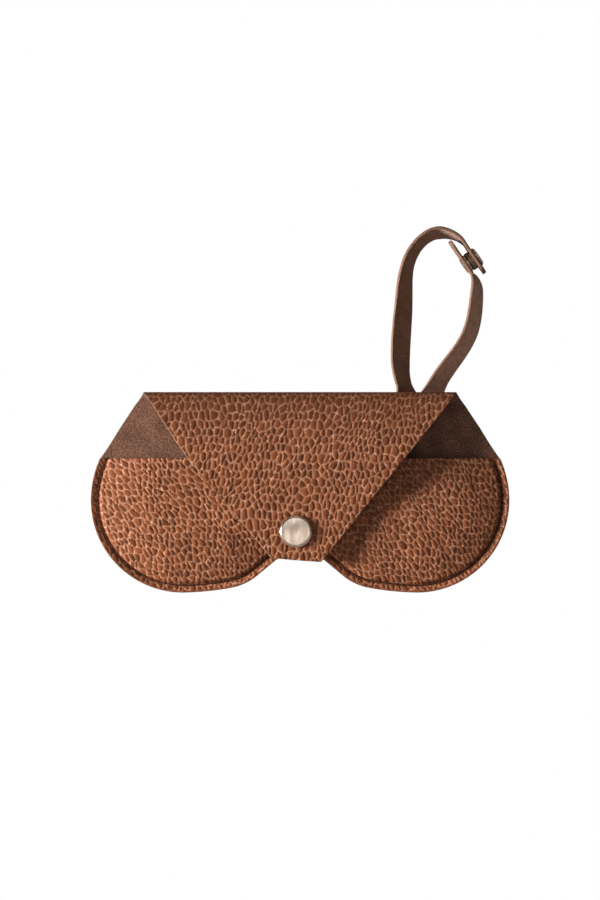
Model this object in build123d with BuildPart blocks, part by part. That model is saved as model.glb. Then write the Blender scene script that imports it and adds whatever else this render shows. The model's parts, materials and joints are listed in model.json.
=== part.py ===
from build123d import *
from math import cos, radians, sin, tan
import os

# A leather eyeglasses case with a folded-over flap, a sewn two-lobed pocket and a wrist strap.
# +X is to the right, +Z is up and the flap faces -Y. Depths are counted forwards from the flat
# outer face of the back panel, which lies in the plane y = 0.

# ---------- driving dimensions, mm ----------
HALF_WIDTH = 90.0
RIDGE_Z = 43.0
LEATHER = 1.4

# Outline of the pouch, right half
WIDEST_Z = -3.4
LOBE_RADIUS = 39.6
SIDE_RADIUS = 43.2
SHOULDER_DEG = 23.9
SIDE_OVERRUN_DEG = 68.0
RIDGE_HALF = 67.2
HEEL = (30.0, -41.0)
NOTCH_SIDE = (18.5, -35.7)
NOTCH_FOOT = (10.7, -29.2)
NOTCH_TOP_Z = -26.0
MOUTH_Z = 14.6

# Fold over the top
FOLD_RADIUS = 5.8
FOLD_RECESS = 3.0
RECESS_FOOT_Z = 15.0
RECESS_HEAD_Z = 27.0
FOLD_STRIPS = 4
BACK_TAPER = 33.0
FLAP_TAPER = 37.0
FIRST_JOINT_DEG = 18.0

# Pocket in front: each level is (distance inside the outline, depth of the outer face)
WALL_FOOT = (3.6, 2 * LEATHER)
WALL_HEAD = (6.0, 5.6)
CROWN = (17.5, 8.8)
WALL_LEAN = 1.1

# Seam
SEAM_INSET = 3.0
STITCH_PITCH = 3.0
STITCH_GAP = 0.3
THREAD = 0.7
GROOVE_DEPTH = 0.5

# Flap
FLAP_REST_DEPTH = 9.2
FLAP_BEND_Z = 12.0
FLAP_FLAT_Z = -9.5
FLAP_TIP_LEFT = (-12.2, -28.2)
FLAP_TIP_RIGHT = (9.0, -29.9)
FLAP_LEFT_BULGE = (-48.7, 14.8)

# Press studs, measured along their own axis from the stud's leather
FLAP_SNAP = (-1.8, -17.0)
FLAP_PAD_DEPTH = 6.0
FLAP_PAD_RADIUS = 5.2
FLAP_CAP_RADIUS = 6.9
FLAP_SOCKET_RADIUS = 4.6
STRAP_CAP_RADIUS = 4.3
STRAP_SOCKET_RADIUS = 4.1
CAP_THICKNESS = 1.3
CAP_BEVEL = (0.9, 0.5)
STUD_HEAD_RADIUS = 2.2
STUD_HEIGHT = 2.0
STUD_FLANGE_RADIUS = 3.9
POST_FLANGE_RADIUS = 3.5
FLANGE_THICKNESS = 0.5
RIVET_RADIUS = 1.5
RIVET_BORE_RADIUS = 1.0
RIVET_LIP_RADIUS = 1.9
SOCKET_MOUTH = 0.7
SOCKET_ROOF = 2.3
SOCKET_BORE_RADIUS = 3.0
SPRING_WIRE_RADIUS = 0.3
SPRING_HEIGHT = 1.6
SPRING_ARC_DEG = 330
SOCKET_CHAMFER = 0.4
STUD_UNDERCUT = 0.25
STUD_ROUNDING = 0.2
FIT = 0.05

# Strap
STRAP_WIDTH = 9.2
STRAP_LEATHER = 1.5
STRAP_OUTER_DEPTH = 0.95
STRAP_INNER_DEPTH = 5.35
STRAP_HINGE_Z = 44.0
STRAP_HINGE_GAP = 1.1
LEFT_LEG_X = 44.4
RIGHT_LEG_X = 58.6
RIGHT_LEG_LEAN = 29.0
SLIT_HEIGHT = 4.4
SLIT_CLEARANCE = 0.4
UPPER_SLIT_Z = 35.0
LOWER_SLIT_Z = 22.8
HAIRPIN_X = 42.0
HAIRPIN_Z = 24.3
HAIRPIN_STEPS = 4
ROOT_BEND_Z = 38.2
ROOT_BEND_X = 55.0
ROOT_BEND_WIDTH = 10.0
ROOT_ENTRY_Z = 33.0
ROOT_ENTRY_X = 51.4
ROOT_ENTRY_WIDTH = 9.4
ROOT_HEEL_SHIFT = 2.6
LEFT_LEG_BENDS = ((45.0, 86.0), (48.9, 104.0))
RIGHT_LEG_BENDS = ((72.9, 67.9), (76.0, 83.0))
LOOP_TOP = (60.3, 111.1)
TAB_START = (71.2, 106.9)
TAB_SLOPE = -55.5
TAB_LENGTH = 15.0
TAB_SNAP = 7.3
TAB_CORNER = 3.5
INNER_TAB_ABOVE = 9.5
INNER_TAB_BELOW = 5.5
TWIST_AT_CASE = 90.0
TWIST_AT_TOP = 36.0
TWIST_AT_KNEE = 18.0
KNEE = 0.85
LEFT_LEG_START = (-0.05, 1)
LOOP_STATIONS = 10

# ---------- derived values ----------
BIG = 4 * HALF_WIDTH
LOOP_REACH = 2 * STRAP_WIDTH
SIDE = Plane(origin=(0, 0, 0), x_dir=(0, -1, 0), z_dir=(-1, 0, 0))
FOLD_DEPTH = FOLD_RECESS + FOLD_RADIUS
FOLD_Z = RIDGE_Z - FOLD_RADIUS
STRIP_DEG = (180 - 2 * FIRST_JOINT_DEG) / FOLD_STRIPS
SNAP_STACK = FLAP_REST_DEPTH - FLAP_PAD_DEPTH
NEEDLE_HOLE_RADIUS = THREAD / 2 + FIT
GROOVE_HALF_WIDTH = THREAD / 2 + 3 * FIT

os.makedirs("parts", exist_ok=True)


def save(block, name):
    """Label a finished piece and write it to its own file."""
    block.part.label = name
    export_step(block.part, f"parts/{name}.step")


# ---------- outlines, seen from the front ----------
def right_edge():
    """Draw the right half of the lower outline, from the notch to the widest point."""
    notch = TangentArc((0, NOTCH_TOP_Z), NOTCH_FOOT, tangent=(1, 0))
    side = Line(notch @ 1, NOTCH_SIDE)
    heel = TangentArc(side @ 1, HEEL, tangent=side % 1)
    sole_end = (HALF_WIDTH - LOBE_RADIUS, WIDEST_Z - LOBE_RADIUS)
    sole = TangentArc(heel @ 1, sole_end, tangent=heel % 1)
    TangentArc(sole @ 1, (HALF_WIDTH, WIDEST_Z), tangent=(1, 0))


def side_arc(sweep):
    """Continue the outline upwards from its widest point by an angle in degrees."""
    return CenterArc((HALF_WIDTH - SIDE_RADIUS, WIDEST_Z), SIDE_RADIUS, 0, sweep)


def back_outline():
    """The whole back: lobes below, sloping shoulders above, up to the fold."""
    with BuildSketch(Plane.XZ) as outline:
        with BuildLine():
            right_edge()
            shoulder = side_arc(SHOULDER_DEG)
            Polyline(shoulder @ 1, (RIDGE_HALF, RIDGE_Z), (0, RIDGE_Z))
            mirror(about=Plane.YZ)
        make_face()
    return outline.sketch


def pouch_outline(inset, depth):
    """The sewn pocket's outline, moved inwards and cut off level at its mouth."""
    with BuildSketch(Plane.XZ.offset(depth)) as outline:
        with BuildLine():
            right_edge()
            side = side_arc(SIDE_OVERRUN_DEG) @ 1
            Line(side, (0, side.Y))
            mirror(about=Plane.YZ)
        make_face()
        if inset:
            offset(amount=-inset, kind=Kind.TANGENT)
        with Locations((0, MOUTH_Z - BIG / 2)):
            Rectangle(BIG, BIG, mode=Mode.INTERSECT)
    return outline.sketch


# ---------- seam stations ----------
def seam_points():
    """Needle holes, evenly spaced round the pocket, as places in the plane y = 0."""
    face = pouch_outline(SEAM_INSET, 0)
    run = Wire([edge for edge in face.edges() if edge.center().Z < MOUTH_Z - 0.01])
    count = round(run.length / STITCH_PITCH)
    return [run @ ((index + 0.5) / count) for index in range(count)]


HOLES = seam_points()


def hole_planes(depth, forward):
    """Planes at the needle holes, at one depth, that look forwards or backwards."""
    normal = (0, -forward, 0)
    return [Plane(origin=(p.X, -depth, p.Z), x_dir=(1, 0, 0), z_dir=normal) for p in HOLES]


def stitch_planes(depth, forward):
    """Planes at the middle of each stitch, with x along the stitch."""
    planes = []
    for start, end in zip(HOLES, HOLES[1:]):
        middle = (start + end) / 2
        origin = (middle.X, -depth, middle.Z)
        planes.append(Plane(origin=origin, x_dir=end - start, z_dir=(0, -forward, 0)))
    return planes


def seam_groove(depth):
    """The shallow channel that the stitches lie in."""
    outer = pouch_outline(SEAM_INSET - GROOVE_HALF_WIDTH, depth)
    inner = pouch_outline(SEAM_INSET + GROOVE_HALF_WIDTH, depth)
    return outer - inner


def seam_thread(surface_depth, forward):
    """One thread of the seam: short stitches in the groove, each with a leg down its hole."""
    floor_depth = surface_depth - forward * GROOVE_DEPTH
    leg = LEATHER - GROOVE_DEPTH - FIT
    with BuildPart() as thread:
        with BuildSketch(*stitch_planes(floor_depth, forward)):
            with Locations((-STITCH_GAP / 2 - THREAD / 4, 0)):
                SlotOverall(STITCH_PITCH - STITCH_GAP, THREAD)
        extrude(amount=GROOVE_DEPTH - FIT)
        with BuildSketch(*hole_planes(floor_depth, forward)[:-1]):
            Circle(THREAD / 2)
        extrude(amount=-leg)
    return thread


def right_leg_x(z):
    """Where the leaning right leg of the strap stands at a height."""
    return RIGHT_LEG_X + (z - STRAP_HINGE_Z) * tan(radians(RIGHT_LEG_LEAN))


def upper_slit():
    """Corners of the slit that the leaning leg passes through, just wider than the leg."""
    corners = []
    for z, side in ((1, -1), (1, 1), (-1, 1), (-1, -1)):
        height = UPPER_SLIT_Z + z * SLIT_HEIGHT / 2
        share = (height - ROOT_ENTRY_Z) / (ROOT_BEND_Z - ROOT_ENTRY_Z)
        middle = ROOT_ENTRY_X + share * (ROOT_BEND_X - ROOT_ENTRY_X)
        width = ROOT_ENTRY_WIDTH + share * (ROOT_BEND_WIDTH - ROOT_ENTRY_WIDTH)
        corners.append((middle + side * (width / 2 + SLIT_CLEARANCE), height))
    return corners


# ---------- leather blank: back, fold and flap ----------
def fold_half_width(angle):
    """Half width of the blank where it has turned by this angle from the back, in degrees."""
    travel = FOLD_RADIUS * radians(angle - 90)
    taper = BACK_TAPER if travel < 0 else FLAP_TAPER
    return RIDGE_HALF - travel * tan(radians(taper))


def fold_plane(angle):
    """Plane across the leather at an angle of the fold; x along the ridge, y outwards."""
    outward = Vector(0, cos(radians(angle)), sin(radians(angle)))
    origin = Vector(0, -FOLD_DEPTH, FOLD_Z) + outward * (FOLD_RADIUS - LEATHER / 2)
    return Plane(origin=origin, x_dir=(1, 0, 0), z_dir=Vector(1, 0, 0).cross(outward))


def make_back_panel():
    """Flat back that leans forwards near its top, up to the first hinge of the fold."""
    middle = FOLD_RADIUS - LEATHER / 2
    with BuildPart() as back:
        with BuildSketch(SIDE):
            with BuildLine():
                flat = Line((LEATHER / 2, -BIG), (LEATHER / 2, RECESS_FOOT_Z))
                head = (FOLD_RECESS + LEATHER / 2, RECESS_HEAD_Z)
                lean = Spline(flat @ 1, head, tangents=((0, 1), (0, 1)))
                Line(lean @ 1, (head[0], FOLD_Z))
                CenterArc((FOLD_DEPTH, FOLD_Z), middle, 180 - FIRST_JOINT_DEG, FIRST_JOINT_DEG)
            trace(line_width=LEATHER)
        extrude(amount=BIG, both=True)
        extrude(back_outline(), amount=BIG, both=True, mode=Mode.INTERSECT)
        # Slits for the strap: a leaning one above, a level one below
        with BuildSketch(Plane.XZ):
            with BuildLine():
                Polyline(*upper_slit(), close=True)
            make_face()
            with Locations((HAIRPIN_X, LOWER_SLIT_Z)):
                Rectangle(STRAP_WIDTH + 2 * SLIT_CLEARANCE, SLIT_HEIGHT)
        extrude(amount=BIG, both=True, mode=Mode.SUBTRACT)
        # Seam groove and needle holes
        extrude(seam_groove(0), amount=GROOVE_DEPTH, mode=Mode.SUBTRACT)
        with BuildSketch(*hole_planes(-1, 1)):
            Circle(NEEDLE_HOLE_RADIUS)
        extrude(amount=3 * LEATHER, mode=Mode.SUBTRACT)
    save(back, "back_panel")


def make_fold_strips():
    """Four narrow strips of leather that carry the blank over the top of the case."""
    for index in range(FOLD_STRIPS):
        start = FIRST_JOINT_DEG + index * STRIP_DEG
        with BuildPart() as strip:
            for angle in (start, start + STRIP_DEG):
                with BuildSketch(fold_plane(angle)):
                    Rectangle(2 * fold_half_width(angle), LEATHER)
            loft(ruled=True)
        save(strip, f"fold_strip_{index + 1}")


def make_flap():
    """Pointed flap, from the last hinge of the fold to the tip below the press stud."""
    middle = FOLD_RADIUS - LEATHER / 2
    top_angle = radians(180 - FIRST_JOINT_DEG)
    top_z = FOLD_Z + FOLD_RADIUS * sin(top_angle)
    top_half = fold_half_width(180 - FIRST_JOINT_DEG)
    with BuildPart() as flap:
        with BuildSketch(SIDE):
            with BuildLine():
                CenterArc((FOLD_DEPTH, FOLD_Z), middle, 0, FIRST_JOINT_DEG)
                fall = Line((FOLD_DEPTH + middle, FOLD_Z), (FOLD_DEPTH + middle, FLAP_BEND_Z))
                rest = (FLAP_REST_DEPTH + LEATHER / 2, FLAP_FLAT_Z)
                Spline(fall @ 1, rest, tangents=((0, -1), (0, -1)))
                Line(rest, (rest[0], -RIDGE_Z))
            trace(line_width=LEATHER)
        extrude(amount=BIG, both=True)
        with BuildSketch(Plane.XZ):
            with BuildLine():
                corner = (top_half, top_z)
                right = Line(corner, FLAP_TIP_RIGHT)
                Polyline(right @ 1, FLAP_TIP_LEFT, FLAP_LEFT_BULGE, (-top_half, top_z), corner)
            make_face()
        extrude(amount=BIG, both=True, mode=Mode.INTERSECT)
        with BuildSketch(Plane.XZ):
            with Locations(FLAP_SNAP):
                Circle(RIVET_RADIUS + FIT)
        extrude(amount=BIG, mode=Mode.SUBTRACT)
    save(flap, "flap")


# ---------- front panel ----------
def make_front_panel():
    """Second sheet: a sewn rim, a steep wall inside it and a gently crowned pocket."""
    outside = [WALL_FOOT, WALL_HEAD, CROWN]
    inside = [(WALL_FOOT[0] + WALL_LEAN, LEATHER)]
    inside.append((WALL_HEAD[0] + WALL_LEAN, WALL_HEAD[1] - LEATHER))
    inside.append((CROWN[0], CROWN[1] - LEATHER))
    with BuildPart() as front:
        extrude(pouch_outline(0, LEATHER), amount=LEATHER)
        loft([pouch_outline(*level) for level in outside], ruled=True)
        loft([pouch_outline(*level) for level in inside], ruled=True, mode=Mode.SUBTRACT)
        # Seam groove and needle holes
        extrude(seam_groove(2 * LEATHER), amount=-GROOVE_DEPTH, mode=Mode.SUBTRACT)
        with BuildSketch(*hole_planes(0, 1)):
            Circle(NEEDLE_HOLE_RADIUS)
        extrude(amount=2 * LEATHER, mode=Mode.SUBTRACT)
        # The crown is pressed flat where the stud is set
        with BuildSketch(Plane.XZ.offset(FLAP_PAD_DEPTH - LEATHER)):
            with Locations(FLAP_SNAP):
                Circle(FLAP_PAD_RADIUS)
        extrude(amount=LEATHER)
        with BuildSketch(Plane.XZ.offset(FLAP_PAD_DEPTH)):
            with Locations(FLAP_SNAP):
                Circle(FLAP_PAD_RADIUS)
        extrude(amount=BIG, mode=Mode.SUBTRACT)
        with BuildSketch(Plane.XZ.offset(LEATHER)):
            with Locations(FLAP_SNAP):
                Circle(POST_FLANGE_RADIUS + 2 * FIT)
        extrude(amount=FLAP_PAD_DEPTH - 2 * LEATHER, mode=Mode.SUBTRACT)
        with BuildSketch(Plane.XZ):
            with Locations(FLAP_SNAP):
                Circle(RIVET_RADIUS + FIT)
        extrude(amount=BIG, mode=Mode.SUBTRACT)
    save(front, "front_panel")


# ---------- press studs ----------
def turned(plane, profile):
    """Turn a closed profile of (radius, height) points about a plane's normal."""
    side = Plane(origin=plane.origin, x_dir=plane.x_dir, z_dir=-plane.y_dir)
    with BuildPart() as part:
        with BuildSketch(side):
            with BuildLine():
                Polyline(*profile, close=True)
            make_face()
        revolve(axis=Axis(plane.origin, plane.z_dir))
    return part


def make_press_stud(plane, leather, cap_radius, socket_radius, cap_side, stud_side):
    """Five turned parts; the plane lies on the stud's leather and looks towards the cap."""
    cap_foot = SNAP_STACK + leather
    cap_top = cap_foot + CAP_THICKNESS
    lip = SOCKET_ROOF - 3 * FIT
    bevel_in, bevel_down = CAP_BEVEL
    cap = [(0, cap_top), (cap_radius - bevel_in, cap_top), (cap_radius, cap_top - bevel_down)]
    cap += [(cap_radius, cap_foot), (RIVET_RADIUS, cap_foot), (RIVET_RADIUS, SOCKET_ROOF)]
    cap += [(RIVET_LIP_RADIUS, SOCKET_ROOF), (RIVET_LIP_RADIUS, lip), (RIVET_BORE_RADIUS, lip)]
    cap += [(RIVET_BORE_RADIUS, cap_foot), (0, cap_foot)]
    save(turned(plane, cap), f"{cap_side}_cap")

    groove = SPRING_WIRE_RADIUS + FIT
    bore = SOCKET_BORE_RADIUS
    socket = [(RIVET_RADIUS + FIT, SNAP_STACK), (RIVET_RADIUS + FIT, SOCKET_ROOF)]
    socket += [(bore, SOCKET_ROOF), (bore, SPRING_HEIGHT + groove)]
    socket += [(bore + SOCKET_CHAMFER, SPRING_HEIGHT + groove)]
    socket += [(bore + SOCKET_CHAMFER, SPRING_HEIGHT - groove), (bore, SPRING_HEIGHT - groove)]
    socket += [(bore, SOCKET_MOUTH), (socket_radius - SOCKET_CHAMFER, SOCKET_MOUTH)]
    socket += [(socket_radius, SOCKET_MOUTH + SOCKET_CHAMFER), (socket_radius, SNAP_STACK)]
    save(turned(plane, socket), f"{cap_side}_socket")

    side = Plane(origin=plane.origin, x_dir=plane.x_dir, z_dir=-plane.y_dir)
    with BuildPart() as spring:
        with BuildSketch(side):
            with Locations((bore + FIT, SPRING_HEIGHT)):
                Circle(SPRING_WIRE_RADIUS)
        revolve(axis=Axis(plane.origin, plane.z_dir), revolution_arc=SPRING_ARC_DEG)
    save(spring, f"{cap_side}_spring")

    neck = STUD_HEAD_RADIUS - STUD_UNDERCUT
    hollow = STUD_HEIGHT - FLANGE_THICKNESS
    stud = [(RIVET_RADIUS + FIT, 0), (STUD_FLANGE_RADIUS, 0)]
    stud += [(STUD_FLANGE_RADIUS, FLANGE_THICKNESS), (neck, FLANGE_THICKNESS)]
    stud += [(neck, STUD_HEIGHT / 2), (STUD_HEAD_RADIUS, STUD_HEIGHT / 2 + STUD_UNDERCUT)]
    stud += [(STUD_HEAD_RADIUS, STUD_HEIGHT - STUD_ROUNDING), (neck, STUD_HEIGHT), (0, STUD_HEIGHT)]
    stud += [(0, hollow), (RIVET_RADIUS + FIT, hollow)]
    save(turned(plane, stud), f"{stud_side}_stud")

    back = -leather - FLANGE_THICKNESS
    post = [(RIVET_BORE_RADIUS, back), (POST_FLANGE_RADIUS, back), (POST_FLANGE_RADIUS, -leather)]
    post += [(RIVET_RADIUS, -leather), (RIVET_RADIUS, hollow - FIT)]
    post += [(RIVET_BORE_RADIUS, hollow - FIT)]
    save(turned(plane, post), f"{stud_side}_post")


# ---------- strap ----------
def strap_place(x, z, depth=STRAP_OUTER_DEPTH):
    """A place on the strap's middle line."""
    return Vector(x, -depth, z)


def strap_section(place, along, across, width=STRAP_WIDTH):
    """A cut across the strap."""
    with BuildSketch(Plane(origin=place, x_dir=across, z_dir=along)) as section:
        Rectangle(width, STRAP_LEATHER)
    return section.sketch


def twisted_run(line, turns, inside):
    """Cuts along a run of the loop; inside is +1 where the loop lies to the right of travel."""
    sections = []
    for index, turn in enumerate(turns):
        t = index / (len(turns) - 1)
        along = line % t
        inward = Vector(along.Z, 0, -along.X) * inside
        across = Vector(0, 1, 0) * cos(radians(turn)) + inward * sin(radians(turn))
        place = line @ t
        sections.append(strap_section(strap_place(place.X, place.Z), along, across))
    return sections


def make_strap_root():
    """The threaded part: in at the upper slit, down inside, out and up at the lower slit."""
    top_z = STRAP_HINGE_Z - STRAP_HINGE_GAP
    radius = (STRAP_INNER_DEPTH - STRAP_OUTER_DEPTH) / 2
    lean_width = STRAP_WIDTH / cos(radians(RIGHT_LEG_LEAN))
    heel_z = HAIRPIN_Z + radius
    # Middle of each cut and the strap's width there
    cuts = [(strap_place(right_leg_x(top_z), top_z), lean_width)]
    cuts.append((strap_place(ROOT_BEND_X, ROOT_BEND_Z), ROOT_BEND_WIDTH))
    entry = strap_place(ROOT_ENTRY_X, ROOT_ENTRY_Z, STRAP_INNER_DEPTH)
    cuts.append((entry, ROOT_ENTRY_WIDTH))
    heel = strap_place(HAIRPIN_X + ROOT_HEEL_SHIFT, heel_z, STRAP_INNER_DEPTH)
    cuts.append((heel, STRAP_WIDTH))
    for step in range(HAIRPIN_STEPS + 1):
        angle = radians(180 * step / HAIRPIN_STEPS)
        depth = STRAP_OUTER_DEPTH + radius * (1 + cos(angle))
        place = strap_place(HAIRPIN_X, HAIRPIN_Z - radius * sin(angle), depth)
        cuts.append((place, STRAP_WIDTH))
    cuts.append((strap_place(LEFT_LEG_X, top_z), STRAP_WIDTH))
    sections = []
    for index, (place, width) in enumerate(cuts):
        before = cuts[max(index - 1, 0)][0]
        after = cuts[min(index + 1, len(cuts) - 1)][0]
        along = Vector(0, after.Y - before.Y, after.Z - before.Z)
        sections.append(strap_section(place, along, (1, 0, 0), width))
    with BuildPart() as root:
        loft(sections, ruled=True)
    save(root, "strap_root")


TAB_ALONG = Vector(cos(radians(TAB_SLOPE)), 0, sin(radians(TAB_SLOPE)))
TAB_OUT = Vector(-TAB_ALONG.Z, 0, TAB_ALONG.X)
OUTER_SNAP = strap_place(*TAB_START) + TAB_ALONG * TAB_SNAP
INNER_SNAP = OUTER_SNAP - TAB_OUT * (SNAP_STACK + STRAP_LEATHER)
STRAP_SNAP_PLANE = Plane(
    origin=INNER_SNAP + TAB_OUT * (STRAP_LEATHER / 2), x_dir=(0, 1, 0), z_dir=TAB_OUT
)


def tab_shape(start, along, length):
    """A straight end of the strap, rounded at its free corners."""
    with BuildSketch(Plane(origin=start, x_dir=along, z_dir=TAB_OUT)) as shape:
        with Locations((length / 2, 0)):
            Rectangle(length, STRAP_WIDTH)
        ends = shape.vertices().sort_by(Axis((0, 0, 0), along))
        fillet(ends[-2:], radius=TAB_CORNER)
    return shape.sketch


def rivet_hole():
    """The hole of the strap's press stud, through either end of the strap."""
    with BuildSketch(STRAP_SNAP_PLANE) as hole:
        Circle(RIVET_RADIUS + FIT)
    return hole.sketch


def make_strap_loop():
    """The loop: left leg, the bend at its top, the outer end, and the right leg inside it."""
    foot_z = STRAP_HINGE_Z + STRAP_HINGE_GAP
    steps = [index / LOOP_STATIONS for index in range(LOOP_STATIONS + 1)]
    untwist = TWIST_AT_CASE - TWIST_AT_TOP

    with BuildLine(Plane.XZ) as left_line:
        tangents = (LEFT_LEG_START, (1, 0))
        Spline((LEFT_LEG_X, foot_z), *LEFT_LEG_BENDS, LOOP_TOP, tangents=tangents)
    with BuildPart() as left_leg:
        turns = [TWIST_AT_CASE - untwist * t for t in steps]
        loft(twisted_run(left_line.edge(), turns, 1), ruled=True)
    save(left_leg, "strap_left_leg")

    with BuildLine(Plane.XZ) as top_line:
        Spline(LOOP_TOP, TAB_START, tangents=((1, 0), (TAB_ALONG.X, TAB_ALONG.Z)))
    with BuildPart() as top:
        turns = [TWIST_AT_TOP * (1 - t) for t in steps[::2]]
        loft(twisted_run(top_line.edge(), turns, 1), ruled=True)
    save(top, "strap_top")

    with BuildPart() as outer_end:
        shape = tab_shape(strap_place(*TAB_START), TAB_ALONG, TAB_LENGTH)
        extrude(shape, amount=STRAP_LEATHER / 2, both=True)
        extrude(rivet_hole(), amount=LOOP_REACH, both=True, mode=Mode.SUBTRACT)
    save(outer_end, "strap_outer_end")

    heel = INNER_SNAP + TAB_ALONG * INNER_TAB_BELOW
    lean = radians(RIGHT_LEG_LEAN)
    start = (right_leg_x(foot_z), foot_z)
    with BuildLine(Plane.XZ) as right_line:
        tangents = ((sin(lean), cos(lean)), (-TAB_ALONG.X, -TAB_ALONG.Z))
        Spline(start, *RIGHT_LEG_BENDS, (heel.X, heel.Z), tangents=tangents)
    # The leg untwists up to its knee and lies flat against the outer end above it
    turns = [untwist * min(t / KNEE, 1) - TWIST_AT_CASE for t in steps[:-2]]
    turns += [-TWIST_AT_KNEE, 0]
    sections = twisted_run(right_line.edge(), turns, -1)
    sections[0] = strap_section(
        strap_place(*start), (0, 0, 1), (1, 0, 0), STRAP_WIDTH / cos(lean)
    )
    with BuildPart() as right_leg:
        loft(sections, ruled=True)
        shape = tab_shape(heel, -TAB_ALONG, INNER_TAB_ABOVE + INNER_TAB_BELOW)
        extrude(shape, amount=STRAP_LEATHER / 2, both=True)
        extrude(rivet_hole(), amount=LOOP_REACH, both=True, mode=Mode.SUBTRACT)
    save(right_leg, "strap_right_leg")


make_back_panel()
make_fold_strips()
make_flap()
make_front_panel()
save(seam_thread(2 * LEATHER, 1), "seam_needle_thread")
save(seam_thread(0, -1), "seam_bobbin_thread")
flap_snap_plane = Plane(
    origin=(FLAP_SNAP[0], -FLAP_PAD_DEPTH, FLAP_SNAP[1]), x_dir=(1, 0, 0), z_dir=(0, -1, 0)
)
make_press_stud(
    flap_snap_plane, LEATHER, FLAP_CAP_RADIUS, FLAP_SOCKET_RADIUS, "flap_snap", "body_snap"
)
make_strap_root()
make_strap_loop()
make_press_stud(
    STRAP_SNAP_PLANE, STRAP_LEATHER, STRAP_CAP_RADIUS, STRAP_SOCKET_RADIUS, "strap_snap", "strap_snap"
)
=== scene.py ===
import json
import math

import bpy
import numpy as np
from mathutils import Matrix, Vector
from mathutils.geometry import delaunay_2d_cdt
from mathutils.kdtree import KDTree


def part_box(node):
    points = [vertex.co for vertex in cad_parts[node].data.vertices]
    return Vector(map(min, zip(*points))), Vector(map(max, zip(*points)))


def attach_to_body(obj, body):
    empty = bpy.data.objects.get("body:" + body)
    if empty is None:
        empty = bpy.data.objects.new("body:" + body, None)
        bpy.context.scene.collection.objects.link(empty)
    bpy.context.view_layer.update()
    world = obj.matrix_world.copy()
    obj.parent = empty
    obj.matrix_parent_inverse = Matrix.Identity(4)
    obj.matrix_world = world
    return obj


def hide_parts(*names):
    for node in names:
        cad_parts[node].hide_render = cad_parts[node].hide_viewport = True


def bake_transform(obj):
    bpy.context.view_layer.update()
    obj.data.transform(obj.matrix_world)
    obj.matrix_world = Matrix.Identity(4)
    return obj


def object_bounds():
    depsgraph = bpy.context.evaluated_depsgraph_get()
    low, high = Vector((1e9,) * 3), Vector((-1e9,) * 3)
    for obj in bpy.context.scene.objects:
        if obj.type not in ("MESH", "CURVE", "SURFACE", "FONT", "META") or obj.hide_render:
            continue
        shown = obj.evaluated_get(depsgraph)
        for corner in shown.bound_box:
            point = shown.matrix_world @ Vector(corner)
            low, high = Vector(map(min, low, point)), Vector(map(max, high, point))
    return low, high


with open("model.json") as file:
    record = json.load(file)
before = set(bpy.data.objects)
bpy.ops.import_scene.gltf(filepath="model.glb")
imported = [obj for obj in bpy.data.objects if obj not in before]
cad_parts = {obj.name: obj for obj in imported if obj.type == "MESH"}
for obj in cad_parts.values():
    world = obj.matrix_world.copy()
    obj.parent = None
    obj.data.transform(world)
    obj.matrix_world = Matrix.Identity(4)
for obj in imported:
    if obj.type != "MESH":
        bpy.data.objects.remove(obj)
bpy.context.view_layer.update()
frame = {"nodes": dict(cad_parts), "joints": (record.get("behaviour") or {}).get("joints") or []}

# A leather eyeglasses case. Lengths in this script are millimetres until a mesh is made, then metres.
# "Depth" is the distance in front of the case's back face, which lies in the plane y = 0.
MM = 0.001


def extent(node):
    """Lowest and highest corner of a CAD node, in mm."""
    low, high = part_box(node)
    return np.array(low) / MM, np.array(high) / MM


def hinge(name):
    """Place of a joint, in mm."""
    for joint in frame["joints"]:
        if joint["name"] == name:
            return np.array(joint["pos_m"]) / MM


# ---------- sizes, most of them taken from the CAD frame ----------
BACK_LOW, BACK_HIGH = extent("back_panel")
FRONT_LOW, FRONT_HIGH = extent("front_panel")
FLAP_LOW, FLAP_HIGH = extent("flap")
CAP_LOW, CAP_HIGH = extent("flap_snap_cap")
HALF_WIDTH = BACK_HIGH[0]
SOLE_Z = BACK_LOW[2]
MOUTH_Z = FRONT_HIGH[2]
LEATHER = -FRONT_HIGH[1]
CROWN_DEPTH = -FRONT_LOW[1]
# The visible pocket is flatter than its CAD solid, as in the photograph
POCKET_DEPTH = CROWN_DEPTH - 2.3
RIDGE_Z = extent("fold_strip_2")[1][2]
RIDGE_HALF = 67.2
# Slant of the fold's ends behind and in front of the ridge, in degrees
BACK_TAPER, FLAP_TAPER = 33.5, 36.0
FOLD_DEPTH = -hinge("fold_bend_3")[1]
FOLD_RADIUS = -FLAP_LOW[1] - FOLD_DEPTH
FOLD_RECESS = FOLD_DEPTH - FOLD_RADIUS
FOLD_Z = RIDGE_Z - FOLD_RADIUS
FLAP_TIP_Z = FLAP_LOW[2]
SNAP_X, SNAP_Z = (CAP_LOW[0] + CAP_HIGH[0]) / 2, (CAP_LOW[2] + CAP_HIGH[2]) / 2
CAP_RADIUS = (CAP_HIGH[0] - CAP_LOW[0]) / 2
CAP_DEPTH = -CAP_LOW[1]
CAP_THICKNESS = 1.3
RIVET_RADIUS, RIVET_LENGTH = 1.45, 2.2
FLAP_REST_DEPTH = CAP_DEPTH - CAP_THICKNESS

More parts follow.
